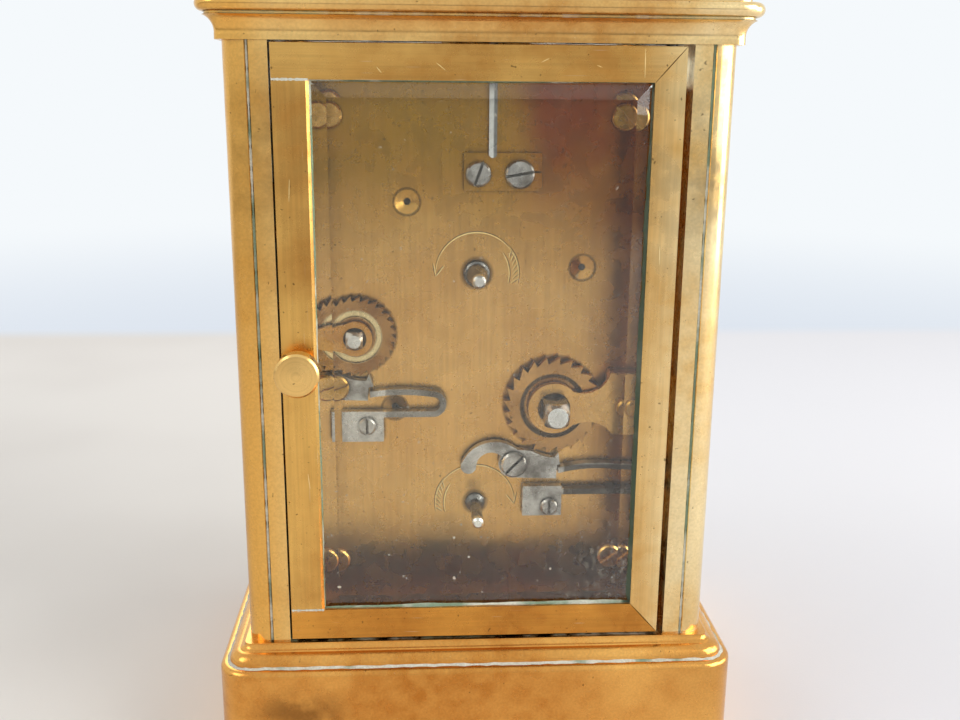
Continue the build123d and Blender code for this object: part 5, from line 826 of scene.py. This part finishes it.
def door_residue():
    """Verdigris round the door glass, and dried polish in the joints of the lock stile."""
    choice = looks()
    left, right = (round(v / MM, 3) for v in (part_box("door_hinge_stile")[1].x,
                                              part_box("door_lock_stile")[0].x))
    foot, head = (round(v / MM, 3) for v in (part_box("door_bottom_rail")[1].z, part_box("door_top_rail")[0].z))
    door_low, door_high = (round(v / MM, 3) for v in (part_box("door_hinge_stile")[0].z,
                                                      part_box("door_hinge_stile")[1].z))
    outer = round(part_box("door_hinge_stile")[0].x / MM, 3)
    crust = crust_material("verdigris_and_dried_polish", 0.46, 0.62, left + 0.8)
    opening = [(left, foot), (right, foot), (right, head), (left, head)]
    glass_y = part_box("rear_door_glass")[1].y / MM
    seam_piece("door_glass_seam", opening, (0.75, 0.4, 0.35, 1.0), choice.seam_width / MM, glass_y,
               glass_y - 0.86, crust, "rear_door", 5)
    white = crust_material("dried_white_polish", 0.30, 0.42)
    chance = random.Random(8)
    points, faces = [], []
    door_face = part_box("door_lock_stile")[1].y / MM
    for z in (foot, head):
        path = [right + JOINT_GAP + JOINT_LENGTH * n / 24 for n in range(25)]
        widths = [0.10 + 0.12 * chance.random() for _ in path]
        band(path, lambda n, x: (x, door_face + 0.015, z - widths[n]),
             lambda n, x: (x, door_face + 0.015, z + widths[n]), points, faces)
    mesh_piece("lock_stile_joint_residue", points, faces, [white], "rear_door")
    # the mitres of the hinge stile show as fine dark lines, and the top rail has a few fine scratches
    points, faces, picks = [], [], []
    seam = aged_metal("old_oil_in_mitre", "mitre", (0.5, 0.7), 0.0)
    scratch = aged_metal("fresh_scratch_in_brass", "cut", (0.4, 0.5), 0.0)
    for z_in, z_out in ((foot, door_low + JOINT_GAP), (head, door_high - JOINT_GAP)):
        mitre = straight((left - JOINT_GAP, z_in), (outer + JOINT_GAP, z_out), 8)
        cut_line(points, faces, picks, mitre, MITRE_WIDTH, door_face + 0.012, 0)
    for x, z, lean, length in DOOR_SCRATCHES:
        line = straight((x, z), (x + length * sin(lean), z + length * cos(lean)), 6)
        cut_line(points, faces, picks, line, SCRATCH_WIDTH, door_face + 0.012, 1)
    mesh_piece("door_mitres_and_scratches", points, faces, [seam, scratch], "rear_door", picks)


CASE_NODES = ("base_bottom_plate", "corner_pillars", "cornice", "top_glass_clips", "handle", "handle_posts")
STEEL_NODES = ("base_screws", "handle_screws", "door_hinge_pins", "going_click", "alarm_click",
               "click_springs", "pallet_lever", "alarm_hammer")
PLATE_NODES = ("front_plate", "platform_plate", "movement_pillars", "winding_cocks", "bell_post")
WHEEL_NODES = ("going_barrel", "alarm_barrel", "centre_wheel", "contrate_wheel", "escape_wheel",
               "minute_wheel", "hour_wheel", "balance", "balance_cock", "escape_cocks")
PIVOTED_NODES = ("intermediate_wheel", "third_wheel", "alarm_wheel")
BLUED_NODES = ("minute_hand", "hour_hand", "alarm_hand", "hairspring", "going_mainspring", "alarm_mainspring")
ARBOR_NODES = ("centre_arbor", "alarm_setting_arbor", "going_winding_arbor", "alarm_winding_arbor")
STEEL_PATCH = 4.55      # steel greys in small patches
ALONG_X, ALONG_Z, PLATE_GRAIN = (0.03, 1, 1), (1, 1, 0.03), (1, 1, 0.04)


class CLOCK_OT_case(bpy.types.Operator):
    """Drawn and polished brass of the case, with tarnish, wear, and verdigris and painted shade in the creases
    """

    bl_idname = "clock.case"
    bl_label = "Case brass"

    def execute(self, context):
        # cast and polished mouldings: satin gloss, brown clouds where fingers touch, and paler on the hinge
        # side as a painted reflection
        dress(aged_metal("polished_cast_brass", "cast", (0.14, 0.28), 0.9, tint=side_tint), *CASE_NODES)
        # the base is warmer, with larger orange-brown clouds
        dress(aged_metal("lacquered_cast_brass", "base", (0.16, 0.30), 0.85, patch=33.3,
                         tint=base_tint), "base_frame")
        # drawn strip: rails brushed along X, stiles along Z, and the top rail and stiles paler on the hinge
        # side as a painted reflection
        strip = {"rough": (0.2, 0.34), "grime": 0.8}
        dress(aged_metal("drawn_brass_rail", "case", brushed=ALONG_X, tint=side_tint, **strip),
              "door_top_rail")
        dress(aged_metal("drawn_brass_low_rail", "rail", brushed=ALONG_X, **strip), "door_bottom_rail")
        dress(aged_metal("drawn_brass_stile", "case", brushed=ALONG_Z, tint=side_tint, **strip),
              "door_hinge_stile", "door_lock_stile")
        # turned in a lathe: rings round its axis that catch the light
        dress(aged_metal("turned_brass_knob", "cast", (0.2, 0.3), 0.9, axis=place("door_knob", 2),
                         scratched=0.5), "door_knob")
        return {"FINISHED"}


class CLOCK_OT_glass(bpy.types.Operator):
    """Plate glass with a film of dust, heaviest at the foot of the rear door"""

    bl_idname = "clock.glass"
    bl_label = "Glass"

    def execute(self, context):
        dress(clear_glass("dusty_door_plate_glass", 1.0, (36, 50)), "rear_door_glass")
        dress(clear_glass("plate_glass", 0.25, (28, 40)), "side_glasses", "front_glass", "top_glass")
        return {"FINISHED"}


class CLOCK_OT_movement(bpy.types.Operator):
    """Brass of the plates and wheels, grey and blued steel, and bell metal"""

    bl_idname = "clock.movement"
    bl_label = "Movement"

    def execute(self, context):
        # rolled and hand-finished plate: upright grain, tarnish of several colours, and painted shade with old
        # oil in its creases
        dress(aged_metal("tarnished_rolled_brass_plate", "plate", (0.20, 0.34), 0.0, patch=16.7,
                         brushed=PLATE_GRAIN, tint=plate_tint, scratched=0.0, oiled=0.8,
                         mottled=0.15, grain=0.0), "back_plate", "contrate_end_plate")
        dress(aged_metal("rolled_brass_plate", "plate", (0.2, 0.34), 0.0, oiled=0.8), *PLATE_NODES)
        # cut brass is darkened between its teeth, as old oil and painted shade
        cut = {"rough": (0.18, 0.3), "grime": 0.0, "oiled": 0.9}
        dress(aged_metal("cut_brass_wheels", "wheel", **cut), *WHEEL_NODES)
        dress(aged_metal("cut_brass_wheels_on_oiled_arbors", "wheel", tint=pivot_tint, **cut),
              *PIVOTED_NODES)
        dress(aged_metal("oiled_brass_ratchets", "ratchet", (0.2, 0.32), 0.0, oiled=1.0,
                         tint=ratchet_tint), "going_ratchet_wheel", "alarm_ratchet_wheel")
        # hardened steel: bright where it is handled, greyed elsewhere, darkened in its creases as old oil and
        # painted shade, and painted darker as shade on the spring arms
        dress(aged_metal("hardened_grey_steel", "steel", (0.2, 0.4), 0.0, patch=STEEL_PATCH,
                         oiled=0.9, tint=spring_tint, scratched=0.1, grain=0.0), *STEEL_NODES)
        for name in ARBOR_NODES:
            tip = round(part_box(name)[1].y / MM, 1)
            dress(aged_metal(f"oiled_steel_{name}", "steel", (0.2, 0.35), 0.0, patch=STEEL_PATCH,
                             tint=tip_tint(tip), oiled=0.6), name)
        # steel strip with a painted highlight along one edge and painted shade along the other
        dress(aged_metal("polished_steel_strip", "steel", (0.25, 0.4), 0.0, patch=STEEL_PATCH,
                         tint=strip_tint), "regulator_index")
        dress(aged_metal("steel_and_brass_screws", "steel", (0.2, 0.38), 0.0, patch=STEEL_PATCH,
                         tint=screw_tint, oiled=1.0, clean=brass_ends), "movement_screws")
        # heat-blued steel: dark blue with a violet cast where the heat ran on
        dress(aged_metal("heat_blued_steel", "blued", (0.16, 0.26), 0.0), *BLUED_NODES)
        # polished bell metal: paler than brass, and smoother
        dress(aged_metal("polished_bell_metal", "bell", (0.12, 0.22), 0.2), "bell")
        return {"FINISHED"}


class CLOCK_OT_dial(bpy.types.Operator):
    """White enamel dial with Roman hours, a minute track and an alarm ring"""

    bl_idname = "clock.dial"
    bl_label = "Dial"

    def execute(self, context):
        dress(enamel_material("fired_white_enamel"), "dial")
        print_dial()
        return {"FINISHED"}


class CLOCK_OT_marks(bpy.types.Operator):
    """Arrows cut in the back plate, and the residue in the joints of the door"""

    bl_idname = "clock.marks"
    bl_label = "Marks and residue"

    def execute(self, context):
        engrave_plate()
        door_residue()
        groove_filling()
        return {"FINISHED"}


# the stage: places in metres, lamp sizes in metres and powers in watts
FLOOR_REACH = 20.0
FADE_START, FADE_END = 0.40, 0.80       # where the floor fades into the backdrop
ROOM_SHARE = 0.55                       # how strongly the backdrop lights what doesn't see it
AIM = (0, 0, 0.07)
LAMPS = (("left_window", (0.50, 0.30, 0.50), (0.35, 0.45), 1.3),
         ("right_window", (-0.50, 0.32, 0.32), (0.45, 0.50), 3.2),
         ("right_strip", (-0.60, 0.05, 0.16), (0.30, 0.30), 1.3),
         ("front_fill", (0.15, -0.60, 0.50), (0.5, 0.4), 1.2))
# the camera: its place in millimetres, its turn, dip and tilt in degrees, and its lens
CAMERA_PLACE = (9.11, 181.34, 108.78)
CAMERA_TURN, CAMERA_DIP, CAMERA_TILT = 3.42, 14.48, 0.51
SENSOR_WIDTH, FOCAL_PIXELS, FRAME_PIXELS = 36.0, 1055.4, 960


def wall_light(tree):
    """The backdrop's strength: full for what sees it or mirrors it, and less for what it lights."""
    rays = put(tree, "LightPath").node.outputs
    seen = put(tree, "Math", (rays["Is Camera Ray"], rays["Is Glossy Ray"]), **MOST)
    seen = put(tree, "Math", (seen, rays["Is Transmission Ray"]), **MOST)
    return put(tree, "MapRange", (seen, 0.0, 1.0, ROOM_SHARE, 1.0), **SMOOTH)


def floor_material():
    """Pale cotton cloth, faintly woven, which turns into the backdrop behind the clock and far off."""
    choice = looks()
    material, tree, where = new_material("pale_cotton_cloth")
    # broad waves of 110 mm, and a weave drawn at 0.4 mm
    wave = patches(tree, where, 111, 0.4, 0.7, 0.0, 0.5)
    weave = put(tree, "TexNoise", (where, per(0.3846), 1.0))
    x, y, _ = put(tree, "SeparateXYZ", (where,)).node.outputs
    # painted light: the floor is painted cooler towards the hinge side, and darker beside the clock there as
    # painted shade
    cool = put(tree, "MapRange", (x, *mm(20, -70)), **SMOOTH)
    shade = put(tree, "Math", (put(tree, "MapRange", (x, *mm(-30, -60)), **SMOOTH),
                               put(tree, "MapRange", (y, *mm(-100, 20)), **SMOOTH)), **TIMES)
    colour = layered(tree, choice.cloth, (wave, choice.cloth_wave), (cool, choice.cloth_cool),
                     (shade, choice.cloth_shade))
    bump = put(tree, "Bump", {"Height": weave, "Strength": 0.15, "Distance": 0.1 * MM})
    cloth = put(tree, "BsdfPrincipled", {"Base Color": colour, "Roughness": 0.9, "Normal": bump})
    # the backdrop is bluer and darker at its foot
    away = put(tree, "VectorMath", (where,), operation="LENGTH")
    haze = put(tree, "MapRange", (away, *mm(200, 750)), **SMOOTH)
    haze = layered(tree, choice.wall_foot, (haze, choice.wall))
    wall = put(tree, "Emission", (haze, wall_light(tree)))
    edge = put(tree, "MapRange", (y, 12 * MM - choice.floor_end, -12 * MM - choice.floor_end), **SMOOTH)
    # far from the clock the cloth fades too, but what the brass mirrors stays as it is
    rays = put(tree, "LightPath").node.outputs
    behind = put(tree, "MapRange", (y, *mm(250, 50)), **SMOOTH)
    through = put(tree, "Math", (rays["Is Transmission Ray"], behind), **TIMES)
    faded = put(tree, "Math", (rays["Is Camera Ray"], through), **MOST)
    far = put(tree, "MapRange", (away, FADE_START, FADE_END), **SMOOTH)
    faded = put(tree, "Math", (faded, far), **TIMES)
    edge = put(tree, "Math", (edge, faded), **MOST)
    put(tree, "OutputMaterial", (put(tree, "MixShader", (edge, cloth, wall)),))
    return material


def soft_lamp(name, spot, size, watts):
    """A large soft lamp aimed at the middle of the clock."""
    lamp = bpy.data.lights.new(name, "AREA")
    lamp.shape = "RECTANGLE"
    lamp.size, lamp.size_y = size
    lamp.energy = watts
    item = bpy.data.objects.new(name, lamp)
    item.location = spot
    item.rotation_euler = (Vector(AIM) - Vector(spot)).to_track_quat("-Z", "Y").to_euler()
    bpy.context.scene.collection.objects.link(item)


def photo_camera():
    """The camera behind and above the clock, turned and dipped as the photographer held it."""
    camera = bpy.data.cameras.new("photo_camera")
    camera.sensor_width = SENSOR_WIDTH
    camera.lens = FOCAL_PIXELS / FRAME_PIXELS * SENSOR_WIDTH
    camera.clip_start = 0.01
    item = bpy.data.objects.new("photo_camera", camera)
    yaw, pitch, roll = radians(CAMERA_TURN), radians(CAMERA_DIP), radians(CAMERA_TILT)
    ahead = Vector((-sin(yaw) * cos(pitch), -cos(yaw) * cos(pitch), -sin(pitch)))
    right = Vector((-cos(yaw), sin(yaw), 0.0))
    up = right.cross(ahead)
    right, up = right * cos(roll) + up * sin(roll), up * cos(roll) - right * sin(roll)
    turn = Matrix((right, up, -ahead)).transposed()
    item.matrix_world = Matrix.Translation(mm(*CAMERA_PLACE)) @ turn.to_4x4()
    return item


class CLOCK_OT_stage(bpy.types.Operator):
    """Pale floor and backdrop, soft lamps, and the camera behind and above the clock"""

    bl_idname = "clock.stage"
    bl_label = "Stage"

    def execute(self, context):
        scene = context.scene
        data = bpy.data.meshes.new("floor")
        corners = [(x * FLOOR_REACH, y * FLOOR_REACH, 0) for x, y in ((-1, -1), (1, -1), (1, 1), (-1, 1))]
        data.from_pydata(corners, [], [(0, 1, 2, 3)])
        floor = bpy.data.objects.new("floor", data)
        scene.collection.objects.link(floor)
        data.materials.append(floor_material())

        world = bpy.data.worlds.new("pale_room")
        world.use_nodes = True
        scene.world = world
        room = world.node_tree
        room.nodes.clear()
        put(room, "OutputWorld", (put(room, "Background", (looks().wall, wall_light(room))),))

        for lamp in LAMPS:
            soft_lamp(*lamp)
        camera = photo_camera()
        scene.collection.objects.link(camera)
        scene.camera = camera
        scene.view_settings.view_transform = "Standard"
        return {"FINISHED"}


class CLOCK_PT_panel(bpy.types.Panel):
    """Lists the steps that dress the clock, and its colours and sizes"""

    bl_label = "Clock looks"
    bl_idname = "CLOCK_PT_panel"
    bl_space_type = "VIEW_3D"
    bl_region_type = "UI"
    bl_category = "Clock"

    def draw(self, context):
        for step in STEPS:
            self.layout.operator(step.bl_idname)
        for name in ClockLooks.__annotations__:
            self.layout.prop(context.scene.clock_looks, name)


STEPS = (CLOCK_OT_stage, CLOCK_OT_case, CLOCK_OT_glass, CLOCK_OT_movement, CLOCK_OT_dial, CLOCK_OT_marks)
CLASSES = (ClockLooks, *STEPS, CLOCK_PT_panel)


def register():
    """Adds the classes and the scene's looks."""
    for item in CLASSES:
        bpy.utils.register_class(item)
    bpy.types.Scene.clock_looks = bpy.props.PointerProperty(type=ClockLooks)


def unregister():
    """Takes the classes and the scene's looks away."""
    del bpy.types.Scene.clock_looks
    for item in reversed(CLASSES):
        bpy.utils.unregister_class(item)


def main():
    """Makes everything in order."""
    register()
    bpy.ops.clock.stage()
    bpy.ops.clock.case()
    bpy.ops.clock.glass()
    bpy.ops.clock.movement()
    bpy.ops.clock.dial()
    bpy.ops.clock.marks()


if __name__ == "__main__":
    main()
